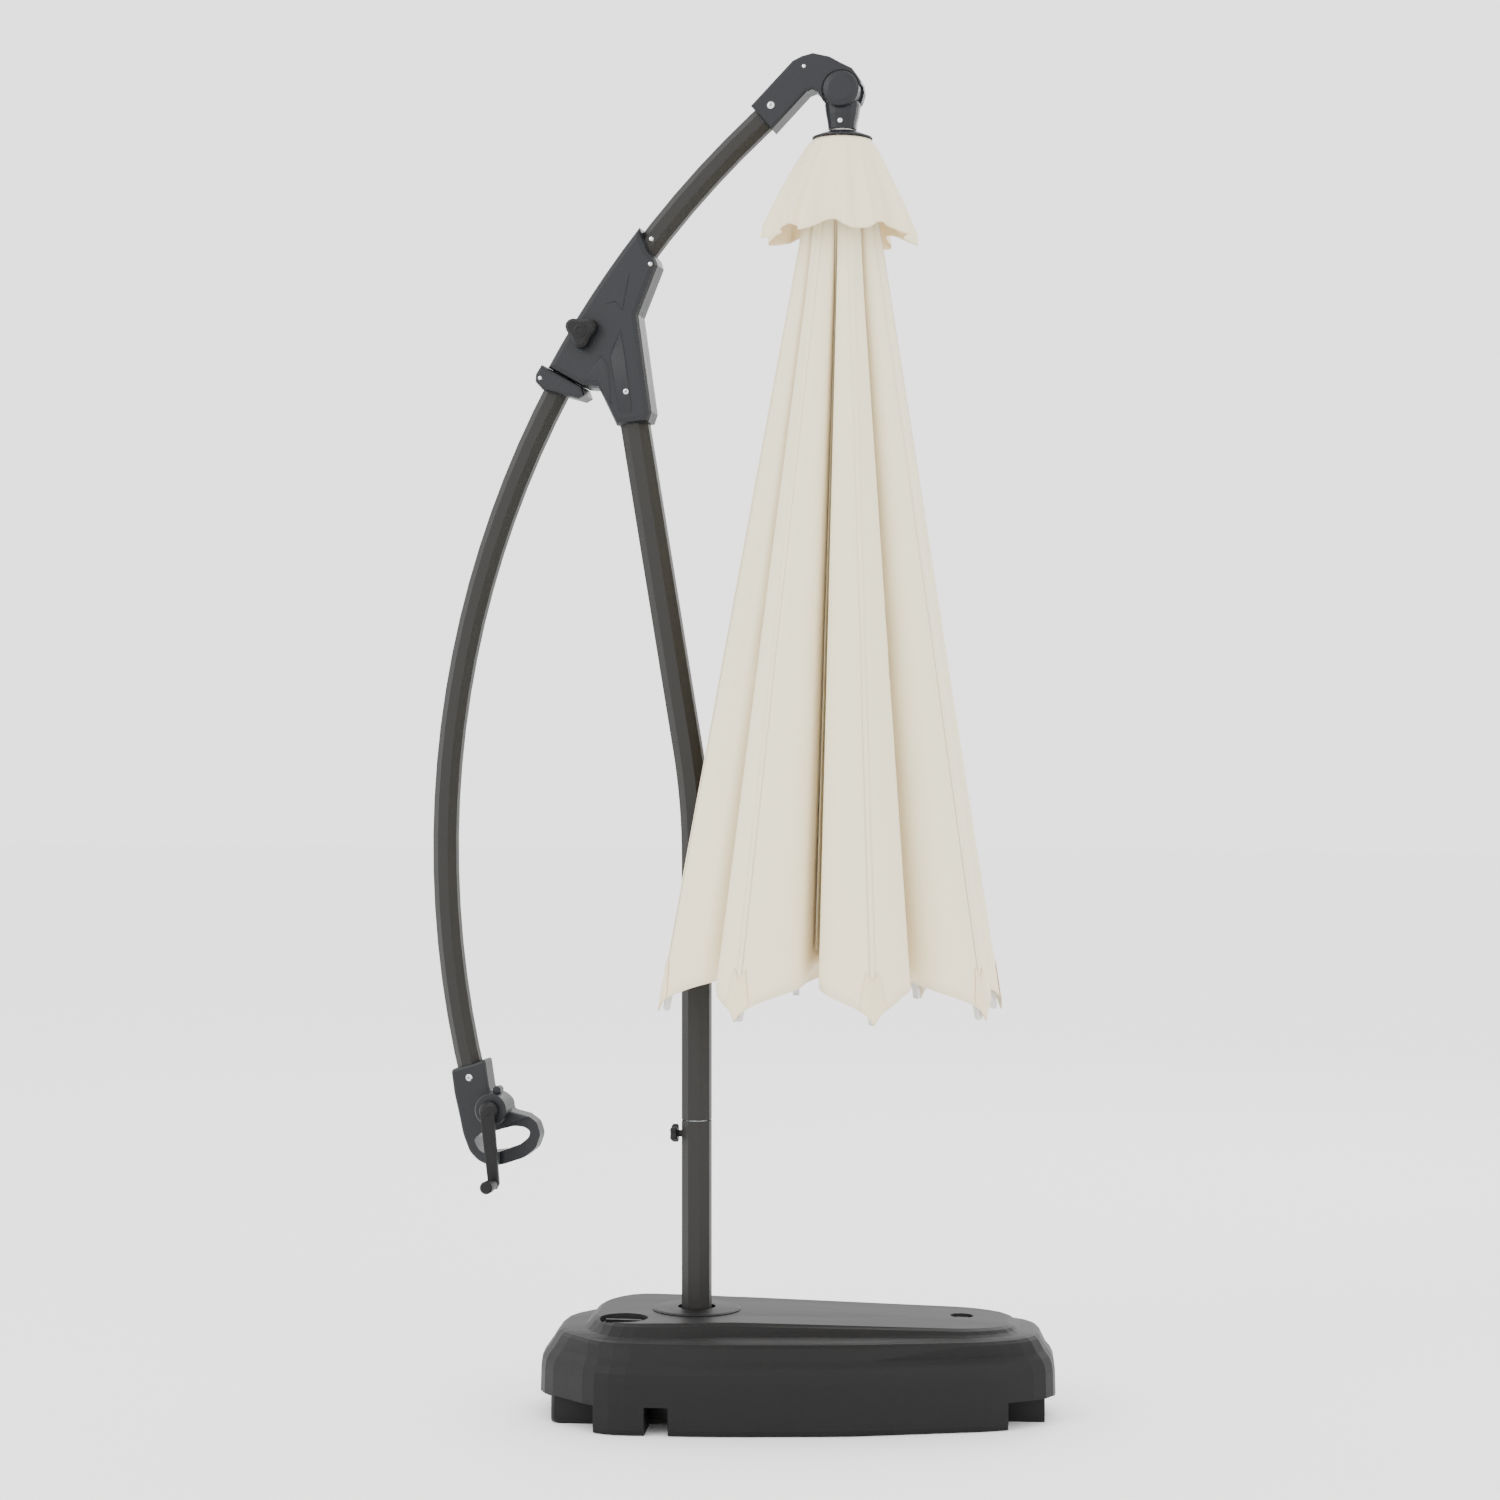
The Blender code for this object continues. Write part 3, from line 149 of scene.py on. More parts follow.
@dataclass(frozen=True)
class Finish:
    """A procedural finish over the shared grain."""

    name: str
    colour: tuple[float, float, float]
    roughness: float
    metallic: float = 0.0
    grain: float = 400.0
    relief: float = 0.0003
    variation: float = 0.10
    tone: float = 0.12
    stretch: tuple[float, float, float] = (1.0, 1.0, 1.0)
    specular: float = 0.5
    on_cloth: bool = False

    def make(self) -> bpy.types.Material:
        """Builds the material once.

        Returns:
            The finished material.
        """
        found = bpy.data.materials.get(self.name)
        if found and found.get("parasol_finish"):
            return found
        made = bpy.data.materials.new(self.name)
        made["parasol_finish"] = True
        made.use_nodes = True
        nodes, links = made.node_tree.nodes, made.node_tree.links
        shader = nodes["Principled BSDF"]
        shader.inputs["Metallic"].default_value = self.metallic
        shader.inputs["Specular IOR Level"].default_value = self.specular
        place = nodes.new("ShaderNodeTexCoord")
        mapping = nodes.new("ShaderNodeMapping")
        mapping.inputs["Scale"].default_value = self.stretch
        links.new(place.outputs["UV" if self.on_cloth else "Object"], mapping.inputs["Vector"])
        grain = nodes.new("ShaderNodeGroup")
        grain.node_tree = grain_group()
        links.new(mapping.outputs["Vector"], grain.inputs["Vector"])
        grain.inputs["Colour"].default_value = (*self.colour, 1.0)
        grain.inputs["Scale"].default_value = self.grain
        grain.inputs["Roughness"].default_value = self.roughness
        grain.inputs["Variation"].default_value = self.variation
        grain.inputs["Tone"].default_value = self.tone
        links.new(grain.outputs["Colour"], shader.inputs["Base Color"])
        links.new(grain.outputs["Roughness"], shader.inputs["Roughness"])
        bump = nodes.new("ShaderNodeBump")
        bump.inputs["Distance"].default_value = self.relief
        bump.inputs["Strength"].default_value = 0.6
        height = grain.outputs["Height"]
        if self.on_cloth:
            height = self.weave(made, mapping, height)
            shader.inputs["Sheen Weight"].default_value = 0.15
            shader.inputs["Subsurface Weight"].default_value = 0.12
            shader.inputs["Subsurface Scale"].default_value = 0.01
        links.new(height, bump.inputs["Height"])
        links.new(bump.outputs["Normal"], shader.inputs["Normal"])
        return made

    def weave(self, made: bpy.types.Material, mapping: bpy.types.Node,
              height: bpy.types.NodeSocket) -> bpy.types.NodeSocket:
        """Adds warp and weft to the height.

        Args:
            made: The cloth's material.
            mapping: The node that places the pattern.
            height: The height made so far.

        Returns:
            The height with the weave in it.
        """
        nodes, links = made.node_tree.nodes, made.node_tree.links
        total = height
        for direction in ("X", "Y"):
            wave = nodes.new("ShaderNodeTexWave")
            wave.bands_direction = direction
            wave.inputs["Scale"].default_value = 420.0
            links.new(mapping.outputs["Vector"], wave.inputs["Vector"])
            add = nodes.new("ShaderNodeMath")
            add.operation = "MULTIPLY_ADD"
            add.inputs[1].default_value = 0.5
            links.new(wave.outputs["Fac"], add.inputs[0])
            links.new(total, add.inputs[2])
            total = add.outputs[0]
        return total


POWDER_COAT = Finish("powder_coat_finish", (0.0130, 0.0125, 0.0110), 0.50, 0.0, 700.0, 0.0002,
                     specular=0.26)
BLACK_PLASTIC = Finish("black_plastic_finish", (0.0060, 0.0070, 0.0090), 0.44, 0.0, 520.0, 0.0004,
                       specular=0.30)
KNOB_PLASTIC = Finish("knob_plastic_finish", (0.0060, 0.0060, 0.0065), 0.50, 0.0, 600.0, 0.0003,
                      specular=0.20)
TANK_PLASTIC = Finish("tank_plastic_finish", (0.0050, 0.0050, 0.0050), 0.52, 0.0, 260.0, 0.0006,
                      0.12, 0.15, (0.25, 1.6, 1.6), specular=0.20)
ZINC = Finish("zinc_finish", (0.66, 0.68, 0.70), 0.30, 1.0, 300.0, 0.0001)
# Painted shade: a dark metal tint that stands for the shade inside each screw's hex socket; the screws
# themselves are bright zinc.
SOCKET_PAINTED_SHADE = Finish("screw_socket_painted_shade_finish", (0.10, 0.10, 0.11), 0.45, 0.8)
NYLON = Finish("nylon_finish", (0.55, 0.55, 0.52), 0.5)
WHITE_METAL = Finish("rib_finish", (0.60, 0.59, 0.56), 0.42, 0.4, 500.0, 0.0001)
CLOTH = Finish("cream_cloth_finish", (0.880, 0.755, 0.525), 0.86, 0.0, 900.0, 0.0002, 0.05, 0.04,
               specular=0.25, on_cloth=True)
CLOTH_DOUBLED = Finish("doubled_cloth_finish", (0.900, 0.745, 0.490), 0.88, 0.0, 900.0, 0.0003,
                       0.05, 0.04, specular=0.25, on_cloth=True)
THREAD = Finish("thread_finish", (0.90, 0.85, 0.74), 0.7)
FLOOR = Finish("floor_finish", (0.97, 0.97, 0.97), 0.8, 0.0, 60.0, 0.0001, 0.03, 0.01)

SLOT_FINISHES: dict[str, Finish] = {
    "powder_coat": POWDER_COAT, "black_plastic": BLACK_PLASTIC, "tank_plastic": TANK_PLASTIC,
    "bright_steel": ZINC, "pad_nylon": NYLON, "canopy_cloth": CLOTH, "white_metal": WHITE_METAL,
}


# ---- mesh helpers ----------------------------------------------------------------------
def make_piece(name: str, points: list[Vector], faces: list[tuple[int, ...]], finish: Finish,
               uv: list[tuple[float, float]] | None = None, angle: float = 40.0,
               repair: bool = True) -> bpy.types.Object:
    """Makes a named mesh piece with its place in its mesh.

    Args:
        name: The piece's name.
        points: Corners in the row frame, in metres.
        faces: Corner indices for each face.
        finish: The finish it takes.
        uv: A map point for each corner, in metres, for cloth.
        angle: Edges sharper than this, in degrees, stay crisp.
        repair: Whether to turn all faces outwards.

    Returns:
        The new object.
    """
    mesh = bpy.data.meshes.new(name)
    mesh.from_pydata([tuple(p) for p in points], [], faces)
    if uv:
        layer = mesh.uv_layers.new(name="cut")
        for loop in mesh.loops:
            layer.data[loop.index].uv = uv[loop.vertex_index]
    if repair:
        work = bmesh.new()
        work.from_mesh(mesh)
        bmesh.ops.recalc_face_normals(work, faces=work.faces)
        work.to_mesh(mesh)
        work.free()
    mesh.materials.append(finish.make())
    mesh.shade_smooth()
    mesh.set_sharp_from_angle(angle=math.radians(angle))
    made = bpy.data.objects.new(name, mesh)
    bpy.context.collection.objects.link(made)
    return made


def grid_faces(rows: int, columns: int, wrap: bool = False) -> list[tuple[int, ...]]:
    """Lists the quads of a grid of points.

    Args:
        rows: Number of rows.
        columns: Points in each row.
        wrap: Whether the last column joins the first.

    Returns:
        Corner indices for each quad.
    """
    faces = []
    for r in range(rows - 1):
        for c in range(columns if wrap else columns - 1):
            d = (c + 1) % columns
            faces.append((r * columns + c, (r + 1) * columns + c, (r + 1) * columns + d, r * columns + d))
    return faces


def plate(outline: list[tuple[float, float]], y_from: float, y_to: float,
          taper: float = 0.0) -> tuple[list[Vector], list[tuple[int, ...]]]:
    """Makes a plate in the XZ plane whose far side is drawn in towards its centre.

    Args:
        outline: (x, z) corners.
        y_from: Where it starts.
        y_to: Where it ends.
        taper: How far the end is drawn in, as a share.

    Returns:
        Points and faces.
    """
    count = len(outline)
    cx = sum(p[0] for p in outline) / count
    cz = sum(p[1] for p in outline) / count
    points = [Vector((x, y_from, z)) for x, z in outline]
    points += [Vector((x + (cx - x) * taper, y_to, z + (cz - z) * taper)) for x, z in outline]
    faces = [tuple(range(count)), tuple(reversed(range(count, 2 * count)))]
    faces += [(i, i + count, (i + 1) % count + count, (i + 1) % count) for i in range(count)]
    return points, faces


def arc_point(degrees: float, radius: float = ARC_RADIUS) -> Vector:
    """A point seen from the boom's arc centre, at an angle up from -X."""
    angle = math.radians(degrees)
    return ARC_CENTRE + Vector((-radius * math.cos(angle), 0.0, radius * math.sin(angle)))


def canopy_frame() -> Matrix:
    """The slight lean of the furled canopy about the head's pivot."""
    there = Matrix.Translation(HEAD_PIVOT)
    return there @ Matrix.Rotation(CANOPY_LEAN, 4, "Y") @ there.inverted()


# ---- geometry node trees ---------------------------------------------------------------
class Tree:
    """A Geometry Nodes tree with named inputs that ends in real, finished geometry."""

    def __init__(self, name: str, inputs: dict[str, float], finish: Finish) -> None:
        """Starts the tree.

        Args:
            name: The tree's name.
            inputs: Named sizes with their defaults.
            finish: The finish that every instance takes.
        """
        self.tree = bpy.data.node_groups.new(name, "GeometryNodeTree")
        self.finish = finish
        face = self.tree.interface
        face.new_socket("Geometry", in_out="INPUT", socket_type="NodeSocketGeometry")
        for label, value in inputs.items():
            socket = face.new_socket(label, in_out="INPUT", socket_type="NodeSocketFloat")
            socket.default_value = value
        face.new_socket("Geometry", in_out="OUTPUT", socket_type="NodeSocketGeometry")
        self.start = self.add("NodeGroupInput")

    def add(self, kind: str) -> bpy.types.Node:
        """Adds a node of a kind."""
        return self.tree.nodes.new(kind)

    def link(self, out: bpy.types.NodeSocket, into: bpy.types.NodeSocket) -> None:
        """Joins two sockets."""
        self.tree.links.new(out, into)

    def close(self, instances: bpy.types.NodeSocket) -> None:
        """Ends the tree in real geometry with its finish.

        Args:
            instances: The socket that gives the instances.
        """
        real, paint, end = (self.add(kind) for kind in (
            "GeometryNodeRealizeInstances", "GeometryNodeSetMaterial", "NodeGroupOutput"))
        paint.inputs["Material"].default_value = self.finish.make()
        self.link(instances, real.inputs["Geometry"])
        self.link(real.outputs["Geometry"], paint.inputs["Geometry"])
        self.link(paint.outputs["Geometry"], end.inputs["Geometry"])

    def run(self, name: str, points: list[Vector], edges: list[tuple[int, int]],
            values: dict[str, float]) -> bpy.types.Object:
        """Runs the tree over points and edges.

        Args:
            name: The finished piece's name.
            points: Where the instances go, in the row frame.
            edges: Lines between the points, for a path.
            values: The named sizes.

        Returns:
            The piece as a plain mesh.
        """
        mesh = bpy.data.meshes.new(f"{name}_path")
        mesh.from_pydata([tuple(p) for p in points], edges, [])
        source = bpy.data.objects.new(f"{name}_path", mesh)
        bpy.context.collection.objects.link(source)
        modifier = source.modifiers.new("fit", "NODES")
        modifier.node_group = self.tree
        keys = {item.name: item.identifier for item in self.tree.interface.items_tree
                if item.in_out == "INPUT"}
        for label, value in values.items():
            modifier[keys[label]] = value
        graph = bpy.context.evaluated_depsgraph_get()
        result = bpy.data.meshes.new_from_object(source.evaluated_get(graph), depsgraph=graph)
        source.modifiers.remove(modifier)
        bpy.data.objects.remove(source, do_unlink=True)
        made = bpy.data.objects.new(name, result)
        bpy.context.collection.objects.link(made)
        if not result.materials:
            result.materials.append(self.finish.make())
        return made


def stitch_tree() -> Tree:
    """Builds the tree that sews short stitches along a path.

    Returns:
        The tree.
    """
    made = Tree("stitches", {"Spacing": 0.006, "Length": 0.0035, "Thickness": 0.0007}, THREAD)
    curve, spaced, place, thread, aim, way, size = (made.add(kind) for kind in (
        "GeometryNodeMeshToCurve", "GeometryNodeResampleCurve", "GeometryNodeInstanceOnPoints",
        "GeometryNodeMeshCube", "FunctionNodeAlignRotationToVector", "GeometryNodeInputTangent",
        "ShaderNodeCombineXYZ"))
    spaced.mode = "LENGTH"
    aim.axis = "Z"
    made.link(made.start.outputs["Geometry"], curve.inputs[0])
    made.link(curve.outputs[0], spaced.inputs["Curve"])
    made.link(made.start.outputs["Spacing"], spaced.inputs["Length"])
    made.link(spaced.outputs[0], place.inputs["Points"])
    made.link(way.outputs[0], aim.inputs["Vector"])
    made.link(aim.outputs[0], place.inputs["Rotation"])
    for label, socket in (("Thickness", "X"), ("Thickness", "Y"), ("Length", "Z")):
        made.link(made.start.outputs[label], size.inputs[socket])
    made.link(size.outputs[0], thread.inputs["Size"])
    made.link(thread.outputs["Mesh"], place.inputs["Instance"])
    made.close(place.outputs["Instances"])
    return made


def socket_tree() -> Tree:
    """Builds the tree that sets a dark hexagon in each screw head: painted shade standing for the socket's
    recess.

    Returns:
        The tree.
    """
    # The dark hexagons are painted shade for the recesses of the hex sockets.
    made = Tree("screw_sockets", {"Radius": 0.0030, "Depth": 0.0012}, SOCKET_PAINTED_SHADE)
    place, socket, turn = (made.add(kind) for kind in (
        "GeometryNodeInstanceOnPoints", "GeometryNodeMeshCylinder", "GeometryNodeTransform"))
    socket.inputs["Vertices"].default_value = 6
    turn.inputs["Rotation"].default_value = (math.radians(90), 0.0, 0.0)
    made.link(made.start.outputs["Radius"], socket.inputs["Radius"])
    made.link(made.start.outputs["Depth"], socket.inputs["Depth"])
    made.link(socket.outputs["Mesh"], turn.inputs["Geometry"])
    made.link(turn.outputs["Geometry"], place.inputs["Instance"])
    made.link(made.start.outputs["Geometry"], place.inputs["Points"])
    made.close(place.outputs["Instances"])
    return made


# ---- cloth -----------------------------------------------------------------------------
@dataclass
class FurledCanopy:
    """Eight gores of cloth folded between the ribs, their seams, pockets and hems."""

    ribs: int = 8
    rib_length: float = 1.525
    rib_angle: float = math.radians(9.9)
    pivot_radius: float = 0.033
    over_rib: float = 0.0128
    flat_middle: float = 1.418
    columns: int = 84
    rows: int = 64
    thickness: float = 0.0006
    pieces: list[bpy.types.Object] = field(default_factory=list)

    def ridge(self, drop: float) -> float:
        """The cloth's radius over a rib at a drop below the hub."""
        return max(self.pivot_radius + drop * math.tan(self.rib_angle) + self.over_rib, 0.0500)

    def deep(self, drop: float) -> float:
        """How far in the folds may go: clear of the hub, the post and the runner.

        Args:
            drop: Drop below the hub, in metres.

        Returns:
            The innermost radius of a fold.
        """
        near_top = min(max(drop / 0.22, 0.0), 1.0)
        inner = 0.0475 + (0.0260 - 0.0475) * near_top
        at_runner = math.exp(-((drop - 0.862) / 0.062) ** 4)
        return inner + (0.0575 - inner) * at_runner if drop > 0.5 else inner

    def section(self, index: int, drop: float) -> np.ndarray:
        """The folded path of one gore at a height, spaced evenly along the cloth.

        Args:
            index: Which gore, from 0.
            drop: Drop below the hub, in metres.

        Returns:
            (azimuth share, radius) pairs from one rib to the next.
        """
        dice = random.Random(71 + index)
        ridge, deep = self.ridge(drop), self.deep(drop)
        open_up = min(max((drop - 0.01) / 0.25, 0.0), 1.0)
        at_mast = index == 3
        middle = 0.5 if at_mast else 0.5 + dice.uniform(-0.045, 0.045)
        halves = []
        for side in (0, 1):
            reach = middle if side == 0 else 1.0 - middle
            mouth = (0.31 if at_mast else dice.uniform(0.385, 0.43)) * reach / 0.5
            belly = dice.uniform(0.88, 0.94)
            lip = dice.uniform(0.80, 0.87)
            inner = (deep + 0.002) / ridge
            sway = 0.010 * math.sin(drop * dice.uniform(3.0, 5.0) + dice.uniform(0, 6.28))
            peak = 0.50 if at_mast else 0.60
            shares = [(0.0, 1.0), (0.085, 0.995), (0.20, belly + 0.045 + sway),
                      (0.30 * reach / 0.5 if at_mast else 0.30, belly - sway),
                      (mouth, lip), (mouth + 0.030 * reach, lip - 0.12),
                      (reach - 0.062, 0.42), (reach - 0.050, inner), (reach - 0.038, inner),
                      (reach - 0.026, 0.38), (reach - 0.004, peak)]
            if at_mast:
                shares[2] = (0.17, 0.93)
                shares[3] = (0.26, 0.87)
            half = [(a, 1.0 + (max(r, inner) - 1.0) * open_up) for a, r in shares]
            halves.append(half)
        path = halves[0] + [(middle, 1.0 + ((0.50 if at_mast else 0.61) - 1.0) * open_up)]
        path += [(1.0 - a, r) for a, r in reversed(halves[1])]
        flat = np.array([(a, max(r * ridge, deep)) for a, r in path])
        return self.even(flat, index)

    def even(self, flat: np.ndarray, index: int) -> np.ndarray:
        """Rounds a path and spaces it evenly.

        Args:
            flat: (azimuth share, radius) corners.
            index: Which gore.

        Returns:
            The spaced path.
        """
        for _ in range(3):
            first = flat[:-1] * 0.75 + flat[1:] * 0.25
            second = flat[:-1] * 0.25 + flat[1:] * 0.75
            inner = np.stack((first, second), axis=1).reshape(-1, 2)
            flat = np.vstack((flat[:1], inner, flat[-1:]))
        angle = flat[:, 0] * 2 * math.pi / self.ribs
        x, y = flat[:, 1] * np.cos(angle), flat[:, 1] * np.sin(angle)
        run = np.concatenate(([0.0], np.cumsum(np.hypot(np.diff(x), np.diff(y)))))
        want = np.linspace(0, run[-1], self.columns + 1)
        return np.stack((np.interp(want, run, x), np.interp(want, run, y)), axis=1)

    def surface(self, index: int) -> tuple[np.ndarray, np.ndarray]:
        """Lays one gore out as a grid.

        Args:
            index: Which gore, from 0.

        Returns:
            Points (rows, columns, 3) and map points (rows, columns, 2).
        """
        longest = self.rib_length * math.cos(self.rib_angle)
        heights = np.linspace(-0.013, longest + 0.004, 56)
        sections = np.array([self.section(index, float(h)) for h in heights])
        points = np.zeros((self.rows + 1, self.columns + 1, 3))
        flat = np.zeros((self.rows + 1, self.columns + 1, 2))
        half_hem = math.sqrt(self.rib_length ** 2 - self.flat_middle ** 2)
        base = 2 * math.pi * (index + 0.5) / self.ribs
        frame = canopy_frame()
        for c in range(self.columns + 1):
            share = c / self.columns
            across = half_hem * (1 - 2 * share)
            inward = 1.0 - abs(1.0 - 2.0 * share)
            length = 1.0 - (1.0 - self.flat_middle / self.rib_length) * 1.12 * inward ** 0.52
            column = sections[:, c, :]
            for r in range(self.rows + 1):
                t = (r / self.rows) ** 1.10
                drop = -0.013 + (longest + 0.013) * t * length
                x = np.interp(drop, heights, column[:, 0])
                y = np.interp(drop, heights, column[:, 1])
                cos_a, sin_a = math.cos(base), math.sin(base)
                spot = Vector((HEAD_PIVOT.x + x * cos_a - y * sin_a, x * sin_a + y * cos_a,
                               HUB_HEIGHT - drop))
                points[r, c] = frame @ spot
                flat[r, c] = (-across * t + index * 1.2, -self.flat_middle * t)
        return points, flat

    def build(self, stitches: Tree) -> None:
        """Makes the gores with their seams, tip pockets and hem stitches.

        Args:
            stitches: The tree that sews the hems.
        """
        grids = [self.surface(index) for index in range(self.ribs)]
        for index, (points, flat) in enumerate(grids):
            rows, columns = points.shape[:2]
            gore = make_piece(f"furled_gore_{index + 1}", [Vector(p) for p in points.reshape(-1, 3)],
                              grid_faces(rows, columns), CLOTH,
                              [tuple(p) for p in flat.reshape(-1, 2)], 180.0, repair=False)
            solid = gore.modifiers.new("cloth", "SOLIDIFY")
            solid.thickness = self.thickness
            solid.offset = 0.0
            before = grids[index - 1][0]
            extras = [self.strip(f"rib_seam_{index + 1}", before, points, 0.0, 1.0, 0.0075, 0.0010, CLOTH),
                      self.pocket(index, before, points)]
            hem = points[-2] * 0.35 + points[-3] * 0.65
            line = [Vector(p) + (Vector(p) - self.axis_at(p[2])).normalized() * 0.0007 for p in hem]
            sewn = stitches.run(f"hem_stitches_{index + 1}", line,
                                [(k, k + 1) for k in range(len(line) - 1)],
                                {"Spacing": 0.0065, "Length": 0.0038, "Thickness": 0.0006})
            extras.append(sewn)
            for piece in (gore, *extras):
                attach(piece, Body.CANOPY.value)
                self.pieces.append(piece)
            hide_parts(f"gore_{index + 1}")
        LOG.info("furled canopy: %d pieces", len(self.pieces))

    def axis_at(self, height: float) -> Vector:
        """The canopy's axis at a height."""
        return canopy_frame() @ Vector((HEAD_PIVOT.x, 0.0, height))

    def across(self, before: np.ndarray, after: np.ndarray, row: float, reach: float,
               lift: float, count: int) -> list[Vector]:
        """Points across a rib on both gores' cloth, lifted off it.

        Args:
            before: The grid of the gore that ends at the rib.
            after: The grid of the gore that starts there.
            row: Share of the way down.
            reach: How far to go to each side, in metres.
            lift: How far off the cloth, in metres.
            count: Points to each side.

        Returns:
            The points, from one side to the other.
        """
        at = row * (self.rows)
        low = min(int(at), self.rows - 1)
        blend = at - low
        made = []
        for k in range(-count, count + 1):
            grid, direction = (after, 1) if k >= 0 else (before, -1)
            line = grid[low] * (1 - blend) + grid[low + 1] * blend
            line = line if direction == 1 else line[::-1]
            steps = np.linalg.norm(np.diff(line, axis=0), axis=1)
            run = np.concatenate(([0.0], np.cumsum(steps)))
            spot = Vector([np.interp(abs(k) / count * reach, run, line[:, i]) for i in range(3)])
            out = (spot - self.axis_at(spot.z))
            out.z = 0.0
            made.append(spot + out.normalized() * lift)
        return made

    def strip(self, name: str, before: np.ndarray, after: np.ndarray, top: float, bottom: float,
              reach: float, lift: float, finish: Finish) -> bpy.types.Object:
        """A band of cloth sewn over a rib.

        Args:
            name: The piece's name.
            before: The grid of the gore that ends at the rib.
            after: The grid of the gore that starts there.
            top: Where it starts, as a share of the way down.
            bottom: Where it ends.
            reach: Its half width, in metres.
            lift: How far off the cloth it lies.
            finish: Its finish.

        Returns:
            The new piece.
        """
        rows, count = 48, 3
        points = []
        for r in range(rows + 1):
            points += self.across(before, after, top + (bottom - top) * r / rows, reach, lift, count)
        columns = 2 * count + 1
        uv = [(k % columns * reach / count, -(k // columns) * 0.03) for k in range(len(points))]
        made = make_piece(name, points, grid_faces(rows + 1, columns), finish, uv, 180.0, repair=False)
        solid = made.modifiers.new("cloth", "SOLIDIFY")
        solid.thickness = 0.0005
        solid.offset = 0.0
        return made

    def pocket(self, index: int, before: np.ndarray, after: np.ndarray) -> bpy.types.Object:
        """The doubled pocket that holds a rib's end.

        Args:
            index: Which rib, from 0.
            before: The grid of the gore that ends at the rib.
            after: The grid of the gore that starts there.

        Returns:
            The new piece.
        """
        rows, count = 8, 5
        points = []
        for r in range(rows + 1):
            row = 0.956 + 0.0435 * r / rows
            points += self.across(before, after, row, 0.020 + 0.016 * r / rows, 0.0020, count)
        columns = 2 * count + 1
        uv = [(k % columns * 0.006, -(k // columns) * 0.008) for k in range(len(points))]
        made = make_piece(f"tip_pocket_{index + 1}", points, grid_faces(rows + 1, columns),
                          CLOTH_DOUBLED, uv, 180.0, repair=False)
        solid = made.modifiers.new("cloth", "SOLIDIFY")
        solid.thickness = 0.0010
        solid.offset = 0.0
        return made


@dataclass
class Flounce:
    """The vent's skirt that falls over the top of the folded gores."""

    top_radius: float = 0.0515
    hem_radius: float = 0.124
    fall: float = 0.150
    steps: int = 240
    rows: int = 30

    def build(self, stitches: Tree) -> None:
        """Makes the skirt, with its hem stitched.

        Args:
            stitches: The tree that sews the hem.
        """
        dice = random.Random(5)
        waves = [(8, 0.010, 0.0), (3, 0.004, dice.uniform(0, 6.28)), (13, 0.0095, dice.uniform(0, 6.28)),
                 (21, 0.0055, dice.uniform(0, 6.28)), (5, 0.005, dice.uniform(0, 6.28))]
        frame = canopy_frame()
        points, uv = [], []
        for r in range(self.rows + 1):
            t = r / self.rows
            for i in range(self.steps):
                azimuth = 2 * math.pi * i / self.steps
                from_rib = azimuth - math.pi / 8
                swing = sum(size * math.cos(n * from_rib + phase) for n, size, phase in waves)
                ruffle = 0.5 + 0.5 * math.cos(8 * from_rib)
                curl = max(0.0, t - 0.86) / 0.14
                grow = min(t * 1.05, 1.0)
                radius = self.top_radius + (self.hem_radius - self.top_radius) * grow ** 0.80
                radius += swing * t ** 0.85 - 0.005 * curl
                lean = 0.35 * math.sin(16 * from_rib + 0.6) * t ** 2 * 0.045
                drop = -0.0215 + (self.fall + 0.0215 - 0.014 * (1 - ruffle) + 0.20 * swing) * t
                points.append(frame @ Vector((HEAD_PIVOT.x + radius * math.cos(azimuth + lean),
                                              radius * math.sin(azimuth + lean), HUB_HEIGHT - drop)))
                uv.append((azimuth * 0.16, -t * 0.19))
        skirt = make_piece("flounce", points, grid_faces(self.rows + 1, self.steps, wrap=True), CLOTH,
                           uv, 180.0, repair=False)
        solid = skirt.modifiers.new("cloth", "SOLIDIFY")
        solid.thickness = 0.0006
        solid.offset = 0.0
        start = (self.rows - 1) * self.steps
        line = []
        for i in range(self.steps + 1):
            spot = points[start + i % self.steps]
            out = spot - frame @ Vector((HEAD_PIVOT.x, 0.0, spot.z))
            line.append(spot + out.normalized() * 0.0007)
        sewn = stitches.run("flounce_stitches", line, [(k, k + 1) for k in range(self.steps)],
                            {"Spacing": 0.0065, "Length": 0.0038, "Thickness": 0.0006})
        for piece in (skirt, sewn):
            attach(piece, Body.CANOPY.value)
        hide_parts("vent")
        LOG.info("flounce made")


